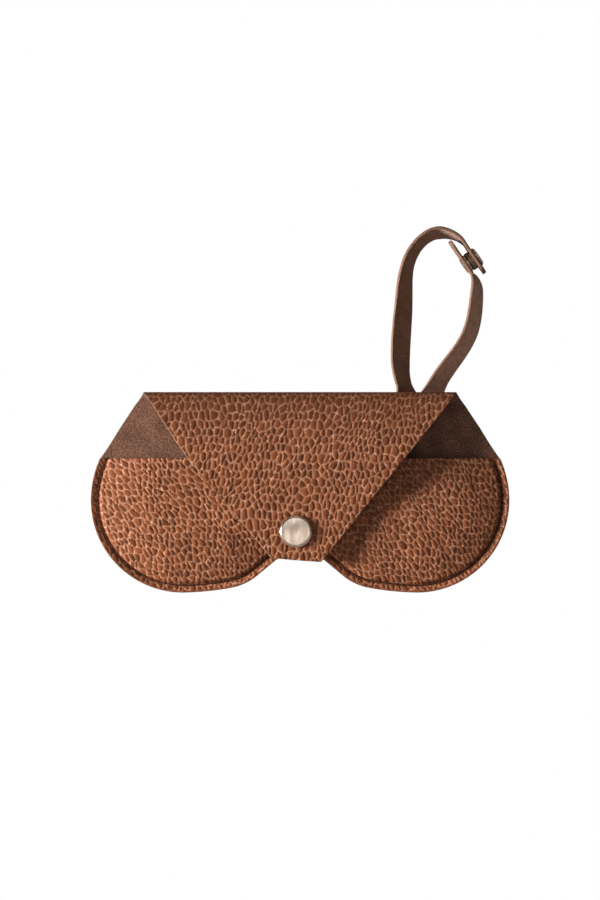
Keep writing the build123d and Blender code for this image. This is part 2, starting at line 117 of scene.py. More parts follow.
# ---------- outline of the pouch and the shapes pressed into it ----------
LOBE_RADIUS = 39.6
SIDE_RADIUS = 43.2
WIDEST_Z = SOLE_Z + LOBE_RADIUS
SHOULDER_DEG = 23.9
HEEL = (30.0, -41.0)
NOTCH_SIDE = (18.5, -35.7)
NOTCH_FOOT = (10.7, -29.2)
NOTCH_TOP_Z = -26.0
SEAM_INSET, SEAM_GROOVE = 3.0, 0.55
RECESS_FOOT_Z, RECESS_HEAD_Z = 15.0, 27.0
FLAP_BEND_Z, FLAP_FLAT_Z = 12.0, -9.5
FLAP_TIP_LEFT = (-12.2, -28.2)
FLAP_TIP_RIGHT = (9.0, FLAP_TIP_Z)
FLAP_LEFT_BULGE = (-48.7, 14.8)
WALL_RISE = 1.0
CROWN_START, CROWN_INSET = 3.8, 27.0
PAD_DEPTH = 6.0
PAD_RADIUS = 5.2


# ---------- small numeric helpers ----------
def unit(v):
    """Vectors scaled to length 1."""
    return v / np.maximum(np.linalg.norm(v, axis=-1, keepdims=True), 1e-9)


def ease(x, low, high):
    """Smooth step from 0 at low to 1 at high."""
    t = np.clip((x - low) / (high - low), 0, 1)
    return t * t * (3 - 2 * t)


def tangent_arc(start, end, tangent, step=0.5):
    """Points of the arc that leaves start along tangent and passes through end."""
    start, end, tangent = (np.array(v, float) for v in (start, end, tangent))
    normal = np.array([-tangent[1], tangent[0]])
    chord = end - start
    radius = chord @ chord / (2 * (chord @ normal))
    centre = start + normal * radius
    a0 = math.atan2(*(start - centre)[::-1])
    a1 = math.atan2(*(end - centre)[::-1])
    turn = (a1 - a0 + math.pi) % (2 * math.pi) - math.pi
    angles = a0 + turn * np.linspace(0, 1, max(3, int(abs(turn * radius) / step)))
    points = centre + abs(radius) * np.stack([np.cos(angles), np.sin(angles)], 1)
    leave = unit(points[-1] - points[-2])
    return points, leave


def right_edge():
    """Right half of the lower outline, from the notch to the widest point."""
    notch, _ = tangent_arc((0, NOTCH_TOP_Z), NOTCH_FOOT, (1, 0))
    side = unit(np.array(NOTCH_SIDE) - np.array(NOTCH_FOOT))
    heel, leave = tangent_arc(NOTCH_SIDE, HEEL, side)
    sole, _ = tangent_arc(HEEL, (HALF_WIDTH - LOBE_RADIUS, SOLE_Z), leave)
    lobe, _ = tangent_arc(sole[-1], (HALF_WIDTH, WIDEST_Z), (1, 0))
    return np.vstack([notch, heel, sole, lobe])


def side_arc(top_z):
    """The outline above its widest point, up to a height."""
    sweep = math.asin((top_z - WIDEST_Z) / SIDE_RADIUS)
    angles = np.linspace(0, sweep, 40)[1:]
    centre = np.array([HALF_WIDTH - SIDE_RADIUS, WIDEST_Z])
    return centre + SIDE_RADIUS * np.stack([np.cos(angles), np.sin(angles)], 1)


def mirrored(right):
    """Right half, from the bottom up, joined to its mirror image; runs anticlockwise."""
    left = right[::-1] * [-1, 1]
    return np.vstack([right, left[:-1]])


def resample(path, spacing, closed=True):
    """Evenly spaced points along each long edge, with the corners kept."""
    ends = np.vstack([path[1:], path[:1]]) if closed else path[1:]
    starts = path if closed else path[:-1]
    points = []
    for a, b in zip(starts, ends):
        count = max(1, int(round(np.linalg.norm(b - a) / spacing)))
        points.append(a + (b - a) * np.arange(count)[:, None] / count)
    if not closed:
        points.append(path[-1:])
    return np.vstack(points)


def thin_out(path, spacing):
    """Drops points that stand closer than a spacing to the one before."""
    kept = [path[0]]
    for p in path[1:]:
        if np.linalg.norm(p - kept[-1]) > spacing * 0.6:
            kept.append(p)
    return np.array(kept)


def edge_distance(points, path):
    """Distance of each point to an open line of points."""
    a, ab = path[:-1], path[1:] - path[:-1]
    length = np.maximum((ab ** 2).sum(1), 1e-12)
    best = np.full(len(points), 1e9)
    for start in range(0, len(points), 4000):
        p = points[start:start + 4000, None, :]
        t = np.clip(((p - a) * ab).sum(2) / length, 0, 1)
        gap = p - a - ab * t[..., None]
        best[start:start + 4000] = np.sqrt((gap ** 2).sum(2).min(1))
    return best


class DistanceMap:
    """Distance to a line of points, worked out once on a grid and read off between its nodes."""

    def __init__(self, path, low, high, step):
        self.low, self.step = np.array(low, float), step
        self.shape = tuple(int(n) + 2 for n in (np.array(high) - low) / step)
        xs, ys = (self.low[k] + step * np.arange(self.shape[k]) for k in (0, 1))
        nodes = np.stack(np.meshgrid(xs, ys, indexing="ij"), -1).reshape(-1, 2)
        self.values = edge_distance(nodes, path).reshape(self.shape)

    def __call__(self, points):
        at = (points - self.low) / self.step
        cell = np.clip(np.floor(at).astype(int), 0, np.array(self.shape) - 2)
        t = np.clip(at - cell, 0, 1)
        i, j = cell.T
        v = self.values
        low = v[i, j] * (1 - t[:, 0]) + v[i + 1, j] * t[:, 0]
        high = v[i, j + 1] * (1 - t[:, 0]) + v[i + 1, j + 1] * t[:, 0]
        return low * (1 - t[:, 1]) + high * t[:, 1]


def far_from(points, ring, gap):
    """Which points stand further than a gap from every point of a ring."""
    tree = KDTree(len(ring))
    for index, p in enumerate(ring):
        tree.insert((p[0], p[1], 0), index)
    tree.balance()
    return np.array([tree.find((p[0], p[1], 0))[2] > gap for p in points], bool)


def inside(points, path):
    """Whether each point lies inside a closed line of points."""
    a, b = path, np.roll(path, -1, 0)
    odd = np.zeros(len(points), bool)
    for start in range(0, len(points), 4000):
        p = points[start:start + 4000]
        x, y = p[:, 0:1], p[:, 1:2]
        crosses = (a[:, 1] > y) != (b[:, 1] > y)
        with np.errstate(divide="ignore", invalid="ignore"):
            at = (b[:, 0] - a[:, 0]) * (y - a[:, 1]) / (b[:, 1] - a[:, 1]) + a[:, 0]
        odd[start:start + 4000] = (crosses & (x < at)).sum(1) % 2 == 1
    return odd


# ---------- leather grain ----------
TILE = 128
JITTER = np.random.default_rng(11).random((TILE, TILE, 3))
SCATTER = 0.64
CREASE_WIDTH, PILLOW_WIDTH = 0.18, 0.5


def waves(p, scale, seed):
    """Smooth wandering value between about -1 and 1."""
    phase = np.random.default_rng(seed).random((6, 3)) * 2 * math.pi
    total = 0
    for k in range(6):
        turn = phase[k, 0]
        f = 2 * math.pi / scale * (0.6 + 0.8 * phase[k, 2] / (2 * math.pi))
        total = total + np.sin(f * (p[:, 0] * math.cos(turn) + p[:, 1] * math.sin(turn)) + phase[k, 1])
    return total / 3


def cells(p):
    """Distances to the two nearest seeds of an uneven, staggered grid, and the cell's own number."""
    row = np.floor(p[:, 1]).astype(int)
    near = np.full(len(p), 9.0)
    second = np.full(len(p), 9.0)
    own = np.zeros(len(p))
    for dj in (-1, 0, 1):
        j = row + dj
        stagger = 0.5 * (j % 2)
        column = np.floor(p[:, 0] - stagger).astype(int)
        for di in (-1, 0, 1):
            i = column + di
            seed = JITTER[i % TILE, j % TILE]
            x = i + 0.5 + stagger + SCATTER * (seed[:, 0] - 0.5)
            y = j + 0.5 + SCATTER * (seed[:, 1] - 0.5)
            gap = np.hypot(x - p[:, 0], y - p[:, 1])
            closer = gap < near
            second = np.where(closer, near, np.minimum(second, gap))
            own = np.where(closer, seed[:, 2], own)
            near = np.where(closer, gap, near)
    return near, second, own


def grain(p, size, tall, slant, relief):
    """Pebbled leather at pattern points: height, share of crease, and the pebble's own number."""
    wander = np.stack([waves(p, 23, 1), waves(p, 27, 2)], 1) * 0.7
    wander = wander + np.stack([waves(p, 8, 3), waves(p, 8, 4)], 1) * 0.3
    q = p + wander
    # The grain leans by its slant and drifts slowly to either side
    lean = math.tan(math.radians(slant))
    cross = q[:, 0] - q[:, 1] * lean + 1.6 * waves(p, 62, 5)
    lattice = np.stack([cross / size, q[:, 1] / (size * tall)], 1)
    near, second, own = cells(lattice)
    edge = (second - near) * size * 0.55
    crease = np.exp(-(edge / CREASE_WIDTH) ** 2) * (0.62 + 0.38 * waves(p, 3.1, 8).clip(-1, 1))
    pillow = 1 - np.exp(-(edge / PILLOW_WIDTH) ** 1.5)
    close, following, _ = cells(lattice * 2.3 + 17.3)
    fine = np.exp(-((following - close) * size * 0.3 / 0.16) ** 2)
    height = relief * (pillow - 1) + relief * 0.3 * (own - 0.5) * pillow - relief * 0.12 * fine * pillow
    return height, crease, own


# ---------- meshes ----------
def build(name, verts, faces, slots, materials, normals=None, values=None):
    """A mesh object from mm points, with a material slot for each face and named values for each point."""
    mesh = bpy.data.meshes.new(name)
    mesh.from_pydata((np.asarray(verts) * MM).tolist(), [], faces)
    for material in materials:
        mesh.materials.append(material)
    mesh.polygons.foreach_set("material_index", np.asarray(slots, np.int32))
    mesh.polygons.foreach_set("use_smooth", np.ones(len(faces), bool))
    for key, data in (values or {}).items():
        kind, field = ("FLOAT_VECTOR", "vector") if np.ndim(data) == 2 else ("FLOAT", "value")
        made = mesh.attributes.new(key, kind, "POINT")
        made.data.foreach_set(field, np.asarray(data, np.float32).ravel())
    mesh.update()
    if normals is not None:
        mesh.normals_split_custom_set_from_vertices(np.asarray(normals).tolist())
    thing = bpy.data.objects.new(name, mesh)
    bpy.context.scene.collection.objects.link(thing)
    return thing


def triangulate(loop, holes, spacing):
    """Triangles over a flat region; the points of the loop come first, then those of the holes."""
    rings = [loop] + holes
    low, high = loop.min(0), loop.max(0)
    rows = np.arange(low[1], high[1], spacing * math.sqrt(3) / 2)
    grid = []
    for k, y in enumerate(rows):
        xs = np.arange(low[0] + (k % 2) * spacing / 2, high[0], spacing)
        grid.append(np.stack([xs, np.full(len(xs), y)], 1))
    grid = np.vstack(grid)
    grid = grid[inside(grid, loop)]
    for ring in rings:
        if len(grid):
            grid = grid[far_from(grid, ring, spacing * 0.6)]
    for hole in holes:
        grid = grid[~inside(grid, hole)]
    points = np.vstack(rings + [grid])
    edges, start = [], len(loop)
    for ring in holes:
        n = len(ring)
        edges += [(start + k, start + (k + 1) % n) for k in range(n)]
        start += n
    got = delaunay_2d_cdt([Vector(p) for p in points], edges, [list(range(len(loop)))], 1, 1e-7)
    flat = np.array([v[:] for v in got[0]])
    triangles = np.array(got[2])
    middle = flat[triangles].mean(1)
    keep = np.ones(len(triangles), bool)
    for hole in holes:
        near = (np.abs(middle - hole.mean(0)) < np.ptp(hole, axis=0)).all(1)
        keep[near] &= ~inside(middle[near], hole)
    a, b, c = (flat[triangles[:, k]] for k in range(3))
    area = np.cross(b - a, c - a)
    keep &= np.abs(area) > 1e-9
    triangles[area < 0] = triangles[area < 0][:, ::-1]
    return flat, triangles[keep]


GRAIN_STEP, SUEDE_STEP = 0.52, 1.8
EDGE_ROWS, EDGE_BULGE = 5, 0.16


class Sheet:
    """A piece of leather laid on a surface: a grain face, a suede face and the cut edge between them."""

    def __init__(self, place, pattern, thickness=LEATHER, flip=False):
        self.place = place
        self.pattern = pattern
        self.thickness = thickness
        self.flip = flip

    def grain_face(self, flat):
        """Points and normals of the grain side, and the grain values."""
        step = 0.12
        height, crease, own = self.pattern(flat)
        point, normal = self.place(flat)
        grain_point = point + normal * height[:, None]
        moved = []
        for shift in ((step, 0), (0, step)):
            p, n = self.place(flat + shift)
            moved.append(p + n * self.pattern(flat + shift)[0][:, None])
        across = unit(np.cross(moved[0] - grain_point, moved[1] - grain_point))
        across *= np.sign((across * normal).sum(1))[:, None]
        return grain_point, across, crease, own

    def make(self, name, loop, spacing, materials, holes=(), open_edges=None):
        """Builds the piece. Boundary edges for which open_edges(a, b) is true continue in the next
        piece and get no cut edge."""
        holes = list(holes)
        turned = -1 if self.flip else 1
        flat, tri = triangulate(loop, holes, spacing)
        top, across, crease, own = self.grain_face(flat)
        inner_flat, inner_tri = triangulate(loop, holes, SUEDE_STEP)
        bottom, inner_normal = self.place(inner_flat)
        bottom = bottom - inner_normal * self.thickness
        faces = tri[:, ::turned].tolist() + (inner_tri + len(flat))[:, ::-turned].tolist()
        slots = [0] * len(tri) + [1] * len(inner_tri)
        # Each block holds points, normals, pattern places, crease and own values
        blocks = [(top, across, np.column_stack([flat, 0 * own]), crease, own)]
        zero = np.zeros(len(inner_flat))
        blocks.append((bottom, -inner_normal, np.column_stack([inner_flat, zero]), zero, zero + 0.5))
        # Cut edge: rows of points between the two faces, slightly rounded outwards
        start = 0
        base = len(flat) + len(inner_flat)
        for index, ring in enumerate([loop] + holes):
            n = len(ring)
            ids = start + np.arange(n)
            tangent = unit(np.roll(ring, -1, 0) - np.roll(ring, 1, 0))
            outward = np.stack([tangent[:, 1], -tangent[:, 0]], 1)
            area = np.cross(ring, np.roll(ring, -1, 0)).sum()
            if (area < 0) == (index == 0):
                outward = -outward
            away = unit(self.place(ring + outward * 0.2)[0] - self.place(ring)[0])
            along = np.cumsum(np.linalg.norm(np.roll(ring, 1, 0) - ring, axis=1))
            zero = np.zeros(n)
            for k in range(EDGE_ROWS):
                t = k / (EDGE_ROWS - 1)
                row = top[ids] * (1 - t) + bottom[ids] * t + away * EDGE_BULGE * math.sin(math.pi * t)
                edge_pattern = np.stack([along, zero + t * self.thickness, zero + 1], 1)
                blocks.append((row, np.zeros((n, 3)), edge_pattern, zero, zero + 0.5))
            for k in range(EDGE_ROWS - 1):
                for i in range(n):
                    j = (i + 1) % n
                    if open_edges and index == 0 and open_edges(ring[i], ring[j]):
                        continue
                    a, b = base + k * n + i, base + k * n + j
                    quad = (a, a + n, b + n, b)
                    faces.append(quad if ((area > 0) == (index == 0)) != self.flip else quad[::-1])
                    slots.append(2)
            base += EDGE_ROWS * n
            start += n
        verts, normals, pattern, crease, own = (np.concatenate(part) for part in zip(*blocks))
        values = {"grain_crease": crease, "grain_own": own, "pattern": pattern}
        return build(name, verts, faces, slots, materials, normals, values)


# ---------- the sewn outline ----------
pouch_right = np.vstack([right_edge(), side_arc(MOUTH_Z)])
sewn_right = np.vstack([right_edge(), side_arc(WIDEST_Z + SIDE_RADIUS * 0.9)])
sewn_distance = DistanceMap(
    thin_out(np.vstack([sewn_right[::-1] * [-1, 1], sewn_right[1:]]), 0.9),
    (-HALF_WIDTH - 1, SOLE_Z - 1), (HALF_WIDTH + 1, MOUTH_Z + 3), 0.25)
RIM_FLARE = 0.7


def rim_lift(flat):
    """How far the sewn rim stands forward; it curls towards the front at its edge."""
    return RIM_FLARE * np.clip(1 - sewn_distance(flat) / SEAM_INSET, 0, 1)


# ---------- the blank: back, fold and flap are one piece of leather ----------
ARC = math.pi * FOLD_RADIUS
FLAP_START = FOLD_Z + ARC


def back_depth(z):
    """Depth of the back's outer face."""
    return FOLD_RECESS * ease(z, RECESS_FOOT_Z, RECESS_HEAD_Z)


def flap_depth(z):
    """Depth of the flap's outer face."""
    high = FOLD_DEPTH + FOLD_RADIUS
    low = FLAP_REST_DEPTH
    return low + (high - low) * ease(z, FLAP_FLAT_Z, FLAP_BEND_Z)


def blank_place(flat):
    """Outer face and outward normal at (x, distance along the blank); the distance equals z on the back."""
    x, s = flat[:, 0], flat[:, 1]
    z_back = np.minimum(s, FOLD_Z)
    turn = np.clip((s - FOLD_Z) / FOLD_RADIUS, 0, math.pi)
    z_flap = FOLD_Z - (s - FLAP_START)
    curl = rim_lift(np.stack([x, np.minimum(z_back, MOUTH_Z)], 1)) * (1 - ease(z_back, 6, 14))
    point = np.stack([x, -back_depth(z_back) - curl, z_back], 1)
    slope = (back_depth(z_back + 0.1) - back_depth(z_back - 0.1)) / 0.2
    normal = unit(np.stack([0 * x, np.ones_like(x), slope], 1))
    arc = (s > FOLD_Z) & (s <= FLAP_START)
    arc_normal = np.stack([0 * x, np.cos(turn), np.sin(turn)], 1)
    arc_point = np.stack([x, -FOLD_DEPTH + 0 * x, FOLD_Z + 0 * x], 1) + arc_normal * FOLD_RADIUS
    point[arc], normal[arc] = arc_point[arc], arc_normal[arc]
    flap = s > FLAP_START
    slope = (flap_depth(z_flap + 0.1) - flap_depth(z_flap - 0.1)) / 0.2
    flap_point = np.stack([x, -flap_depth(z_flap), z_flap], 1)
    flap_normal = unit(np.stack([0 * x, -np.ones_like(x), -slope], 1))
    point[flap], normal[flap] = flap_point[flap], flap_normal[flap]
    return point, normal


FLAP_SNAP_S = FLAP_START + FOLD_Z - SNAP_Z


def blank_pattern(flat):
    """Grain of the blank; it is stretched smoother over the fold, and painted darker there as shade."""
    from_ridge = flat[:, 1] - (FOLD_Z + ARC / 2)
    stretch = np.exp(-(from_ridge / 18) ** 2)
    height, crease, own = grain(flat * [1, -1] + 300, 2.45, 1.45, 6, 0.36)
    keep = (1 - 0.6 * stretch) * (1 - 0.85 * np.exp(-(from_ridge / 4) ** 2))
    # The press stud pulls the leather down round its cap
    from_rim = np.hypot(flat[:, 0] - SNAP_X, flat[:, 1] - FLAP_SNAP_S) - CAP_RADIUS
    height = height * keep - 0.25 * np.exp(-(from_rim / 1.1) ** 2)
    # Painted shade: the pebbles are darkened around the fold, and its creases painted less pale, where the
    # fold turns away from the light
    return height, crease * (1 - 0.35 * stretch), own * (1 - 0.5 * stretch) + 1.3 * stretch


def taper(s):
    """Half width of the blank over the fold; its ends look straight from the front."""
    turn = (s - FOLD_Z) / FOLD_RADIUS
    drop = FOLD_RADIUS * (1 - math.sin(min(max(turn, 0), math.pi)))
    if turn < math.pi / 2:
        return RIDGE_HALF + drop * math.tan(math.radians(BACK_TAPER))
    return RIDGE_HALF - drop * math.tan(math.radians(FLAP_TAPER))


# ---------- materials ----------
def set_input(tree, target, key, value):
    """Sets an input of a node, or links it where the value is a (node, output) pair."""
    if isinstance(value, tuple) and hasattr(value[0], "outputs"):
        tree.links.new(value[0].outputs[value[1]], target.inputs[key])
    else:
        target.inputs[key].default_value = value


def node(tree, kind, **inputs):
    """A node; p_name sets a property, i3 its input number 3, and any other name the input so called."""
    made = tree.nodes.new(kind)
    for key, value in inputs.items():
        if key.startswith("p_"):
            setattr(made, key[2:], value)
    for key, value in inputs.items():
        if not key.startswith("p_"):
            set_input(tree, made, int(key[1:]) if key[1:].isdigit() else key, value)
    return made


def attribute(tree, name):
    """The node that reads a mesh attribute."""
    return node(tree, "ShaderNodeAttribute", p_attribute_name=name)


def noise(tree, place, scale, detail, rough=0.5):
    """Noise over a (node, output) place."""
    return node(tree, "ShaderNodeTexNoise", Vector=place, Scale=scale, Detail=detail, Roughness=rough)


def stretched(tree, place, factors):
    """A (node, output) place multiplied by a factor along each axis."""
    return node(tree, "ShaderNodeVectorMath", p_operation="MULTIPLY", i0=place, i1=factors), 0


def times(tree, a, b):
    """Product of two (node, output) values."""
    return node(tree, "ShaderNodeMath", p_operation="MULTIPLY", i0=a, i1=b), 0


def mix_colour(tree, factor, a, b):
    """Mix of two colours, as a (node, output) pair."""
    return node(tree, "ShaderNodeMix", p_data_type="RGBA", i0=factor, i6=a, i7=b), 2


def ramp(tree, source, low, high, out_low=0.0, out_high=1.0):
    """A node's factor, taken from one range to another, as a (node, output) pair."""
    return node(tree, "ShaderNodeMapRange", i0=(source, "Fac"), i1=low, i2=high, i3=out_low, i4=out_high), 0


def material(name):
    """An empty principled material, with its node tree and its shader node."""
    made = bpy.data.materials.new(name)
    made.use_nodes = True
    tree = made.node_tree
    tree.nodes.clear()
    shader = tree.nodes.new("ShaderNodeBsdfPrincipled")
    node(tree, "ShaderNodeOutputMaterial", i0=(shader, 0))
    return made, tree, shader


def finish_shader(tree, shader, shade, rough, relief, strength, distance, shine=0.5):
    """Sets a shader's colour, roughness, shine and fine relief."""
    bump = node(tree, "ShaderNodeBump", Strength=strength, Distance=distance, Height=(relief, "Fac"))
    looks = {"Base Color": shade, "Roughness": rough, "Specular IOR Level": shine, "Normal": (bump, 0)}
    for key, value in looks.items():
        set_input(tree, shader, key, value)


def srgb(r, g, b):
    """A colour given in 0..255 display values."""
    def line(c):
        c = c / 255
        return c / 12.92 if c <= 0.04045 else ((c + 0.055) / 1.055) ** 2.4
    return (line(r), line(g), line(b), 1.0)


def leather_material(name, body, light, dark, crease_share, rough, shine):
    """Pebbled grain: brown pebbles that differ a little, creases painted paler as a highlight, and fine
    pores.
    """
    made, tree, shader = material(name)
    pattern = attribute(tree, "pattern")
    broad = noise(tree, (pattern, "Vector"), 0.06, 3.0)
    pores = noise(tree, (pattern, "Vector"), 2.6, 4.0, 0.65)
    own = ramp(tree, attribute(tree, "grain_own"), 0, 1.2, 0.0, 0.95)
    shade = mix_colour(tree, own, body, dark)
    shade = mix_colour(tree, ramp(tree, pores, 0.35, 0.75, 0, 0.35), shade, dark)
    # Painted highlight: the creases are painted in the pale colour, stronger in broad patches and flecked
    # by the pores
    highlight_patches = ramp(tree, broad, 0.3, 0.7, 0.6 * crease_share, crease_share)
    crease_highlight = times(tree, (attribute(tree, "grain_crease"), "Fac"), highlight_patches)
    highlight_flecks = times(tree, crease_highlight, ramp(tree, pores, 0.3, 0.62, 1.15, 0.6))
    shade = mix_colour(tree, highlight_flecks, shade, light)
    rough_map = ramp(tree, pores, 0.3, 0.7, rough - 0.06, rough + 0.1)
    finish_shader(tree, shader, shade, rough_map, pores, 0.35, 0.00012, shine)
    return made


def suede_material(name, body, dark, scale=1.3):
    """Flesh side: short nap in mottled tones."""
    made, tree, shader = material(name)
    pattern = attribute(tree, "pattern")
    nap = noise(tree, (pattern, "Vector"), scale, 5.0, 0.75)
    patch = noise(tree, (pattern, "Vector"), scale / 9, 2.0)
    shade = mix_colour(tree, ramp(tree, nap, 0.34, 0.66), dark, body)
    shade = mix_colour(tree, ramp(tree, patch, 0.35, 0.7, 0, 0.4), shade, dark)
    shader.inputs["Sheen Weight"].default_value = 0.25
    shader.inputs["Sheen Roughness"].default_value = 0.5
    finish_shader(tree, shader, shade, 0.92, nap, 0.7, 0.0003, 0.15)
    return made


def edge_material(name, body, dark):
    """Cut edge of the leather: fibres that run along it, burnished unevenly."""
    made, tree, shader = material(name)
    along = stretched(tree, (attribute(tree, "pattern"), "Vector"), (0.5, 5.0, 1.0))
    fibre = noise(tree, along, 1.4, 4.0, 0.7)
    shade = mix_colour(tree, ramp(tree, fibre, 0.3, 0.7), body, dark)
    finish_shader(tree, shader, shade, 0.7, fibre, 0.6, 0.0002)
    return made


def thread_material():
    """Waxed dark thread with a fine lay of fibres."""
    made, tree, shader = material("waxed_thread")
    fibre = noise(tree, (tree.nodes.new("ShaderNodeTexCoord"), "Object"), 5200.0, 3.0)
    shade = mix_colour(tree, ramp(tree, fibre, 0.3, 0.7), srgb(52, 30, 20), srgb(88, 54, 38))
    finish_shader(tree, shader, shade, 0.7, fibre, 0.4, 0.00006, 0.2)
    return made


def metal_material(name, colour, rough, painted_reflection_and_tarnish=0.3, reflection_and_tarnish_colour=None):
    """Plated metal with fine wipe marks and slanted darker clouds, which are faint tarnish on the inner
    parts and a strong painted reflection on the caps.
    """
    made, tree, shader = material(name)
    place = (tree.nodes.new("ShaderNodeTexCoord"), "Object")
    wipe = noise(tree, stretched(tree, place, (900.0, 900.0, 108.0)), 1.0, 4.0, 0.6)
    slanted = node(tree, "ShaderNodeMapping", Vector=place, Scale=(1.0, 1.0, 0.3))
    slanted.inputs["Rotation"].default_value = (0, math.radians(-24), 0)
    # Slanted clouds darken the colour: painted reflection where they are strong, tarnish where they are
    # faint
    cloud = noise(tree, (slanted, 0), 300.0, 2.0)
    low = reflection_and_tarnish_colour or tuple(c * 0.72 for c in colour[:3]) + (1.0,)
    shade = mix_colour(tree, ramp(tree, cloud, 0.35, 0.7, 0, painted_reflection_and_tarnish), colour, low)
    shader.inputs["Metallic"].default_value = 1.0
    rough_map = ramp(tree, wipe, 0.3, 0.7, rough * 0.8, rough * 1.4)
    finish_shader(tree, shader, shade, rough_map, wipe, 0.12, 0.00003)
    return made


# In this grain and the strap's, the pale second colour is the painted highlight on the creases
GRAIN = leather_material(
    "leather_grain", srgb(142, 82, 50), srgb(240, 182, 148), srgb(98, 52, 28), 1.0, 0.6, 0.16)
SUEDE = suede_material("leather_suede", srgb(168, 120, 96), srgb(44, 24, 16))
CUT = edge_material("leather_cut_edge", srgb(190, 146, 112), srgb(128, 84, 60))
BAND_EDGE = edge_material("leather_burnished_edge", srgb(110, 72, 56), srgb(66, 40, 30))
STRAP_GRAIN = leather_material(
    "strap_grain", srgb(222, 166, 138), srgb(238, 190, 164), srgb(116, 78, 60), 0.6, 0.65, 0.2)
STRAP_SUEDE = suede_material("strap_suede", srgb(176, 126, 98), srgb(92, 60, 46), 1.6)
STRAP_EDGE = edge_material("strap_cut_edge", srgb(140, 102, 78), srgb(92, 62, 46))
THREAD = thread_material()
# The caps' strong slanted clouds are a painted reflection of the room
GOLD = metal_material("champagne_plate", (0.98, 0.79, 0.65, 1.0), 0.14, 0.85, (0.55, 0.41, 0.31, 1.0))
BRASS = metal_material("plated_brass", (0.75, 0.6, 0.45, 1.0), 0.28)
AGED = metal_material("aged_brass", (0.26, 0.165, 0.11, 1.0), 0.42)
WIRE = metal_material("spring_wire", (0.66, 0.64, 0.62, 1.0), 0.25)

# ---------- the blank's pieces ----------
def attach(piece, body, node_name):
    """Puts a piece on a body, in place of a CAD node."""
    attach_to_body(piece, body)
    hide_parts(node_name)


blank = Sheet(blank_place, blank_pattern, LEATHER, flip=True)
shoulder_z = WIDEST_Z + SIDE_RADIUS * math.sin(math.radians(SHOULDER_DEG))
back_right = np.vstack([right_edge(), side_arc(shoulder_z)])
neck = np.array([[taper(FOLD_Z), FOLD_Z]])
back_loop = mirrored(np.vstack([back_right, neck, [[0, FOLD_Z]]]))
back_loop = resample(thin_out(back_loop, GRAIN_STEP), GRAIN_STEP)


def level(s):
    """Says whether an edge of the pattern runs along the line at distance s."""
    return lambda a, b: abs(a[1] - s) < 1e-6 and abs(b[1] - s) < 1e-6


def slit(corners):
    """Outline of a slit for the strap, with softened corners, clockwise."""
    ring = np.array(corners, float)
    for _ in range(3):
        after = np.roll(ring, -1, 0)
        ring = np.stack([ring + (after - ring) * 0.12, after - (after - ring) * 0.12], 1).reshape(-1, 2)
    return resample(ring, GRAIN_STEP)[::-1]


STRAP_WIDTH = extent("strap_outer_end")[1][1] - extent("strap_outer_end")[0][1]
STRAP_LEATHER = 1.5
LEAN = math.radians(29.0)
STRAP_HINGE_Z = hinge("strap_swing")[2]
LEFT_LEG_X, RIGHT_LEG_X = 44.4, 57.6
STRAP_OUTER_DEPTH, STRAP_INNER_DEPTH = 0.95, 5.35
UPPER_SLIT_Z, LOWER_SLIT_Z, SLIT_HEIGHT, SLIT_CLEARANCE = 35.0, 22.8, 4.4, 0.4
HAIRPIN_X, HAIRPIN_Z, HAIRPIN_RADIUS = 42.0, 24.3, (STRAP_INNER_DEPTH - STRAP_OUTER_DEPTH) / 2
# Middle, height and width of the strap where it bends towards the upper slit and where it is through
ROOT_BEND, ROOT_ENTRY = (55.0, 38.2, 10.0), (51.4, 33.0, 9.4)
ROOT_HEEL_SHIFT = 2.6


def right_leg_x(z):
    """Where the strap's leaning right leg stands at a height."""
    return RIGHT_LEG_X + (z - STRAP_HINGE_Z) * math.tan(LEAN)


LEFT_LEAN = 0.32


def left_leg_x(z):
    """Where the strap's left leg stands near the ridge, where it leans to the left."""
    return LEFT_LEG_X + 1.2 - (z - STRAP_HINGE_Z) * LEFT_LEAN


def upper_slit():
    """Corners of the slit that the leaning leg passes through, just wider than the leg."""
    corners = []
    for up, side in ((1, -1), (1, 1), (-1, 1), (-1, -1)):
        z = UPPER_SLIT_Z + up * SLIT_HEIGHT / 2
        share = (z - ROOT_ENTRY[1]) / (ROOT_BEND[1] - ROOT_ENTRY[1])
        x, _, strap_width = (a + share * (b - a) for a, b in zip(ROOT_ENTRY, ROOT_BEND))
        corners.append((x + side * (strap_width / 2 + SLIT_CLEARANCE), z))
    return corners


LOWER_HALF = STRAP_WIDTH / 2 + SLIT_CLEARANCE
lower_slit = []
for side, up in ((-1, 1), (1, 1), (1, -1), (-1, -1)):
    lower_slit.append((HAIRPIN_X + side * LOWER_HALF, LOWER_SLIT_Z + up * SLIT_HEIGHT / 2))
slits = [slit(upper_slit()), slit(lower_slit)]
back = blank.make("leather_back", back_loop, GRAIN_STEP, [GRAIN, SUEDE, BAND_EDGE], slits, level(FOLD_Z))
attach(back, "pouch", "back_panel")

BENDS = 5
for k in range(BENDS):
    low, high = FOLD_Z + ARC * k / BENDS, FOLD_Z + ARC * (k + 1) / BENDS
    cut = np.linspace(low, high, 9)
    right = np.array([[taper(s), s] for s in cut])
    loop = resample(np.vstack([right, right[::-1] * [-1, 1]]), GRAIN_STEP)
    open_ends = lambda a, b: level(low)(a, b) or level(high)(a, b)
    bend = blank.make(f"leather_bend_{k + 1}", loop, GRAIN_STEP, [GRAIN, SUEDE, BAND_EDGE], (), open_ends)
    inset = 0.12 * (high - low)
    ends, _ = blank_place(np.array([[0, low + inset], [0, high - inset]]))
    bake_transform(bend)
    if k < BENDS - 1:
        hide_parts(f"fold_strip_{k + 1}")


def soften(path, rounds=2, share=0.25):
    """Corner cutting on an open line of points; its ends stay."""
    for _ in range(rounds):
        a, b = path[:-1], path[1:]
        cut = np.stack([a + (b - a) * share, b - (b - a) * share], 1).reshape(-1, path.shape[1])
        path = np.vstack([path[:1], cut[1:-1], path[-1:]])
    return path


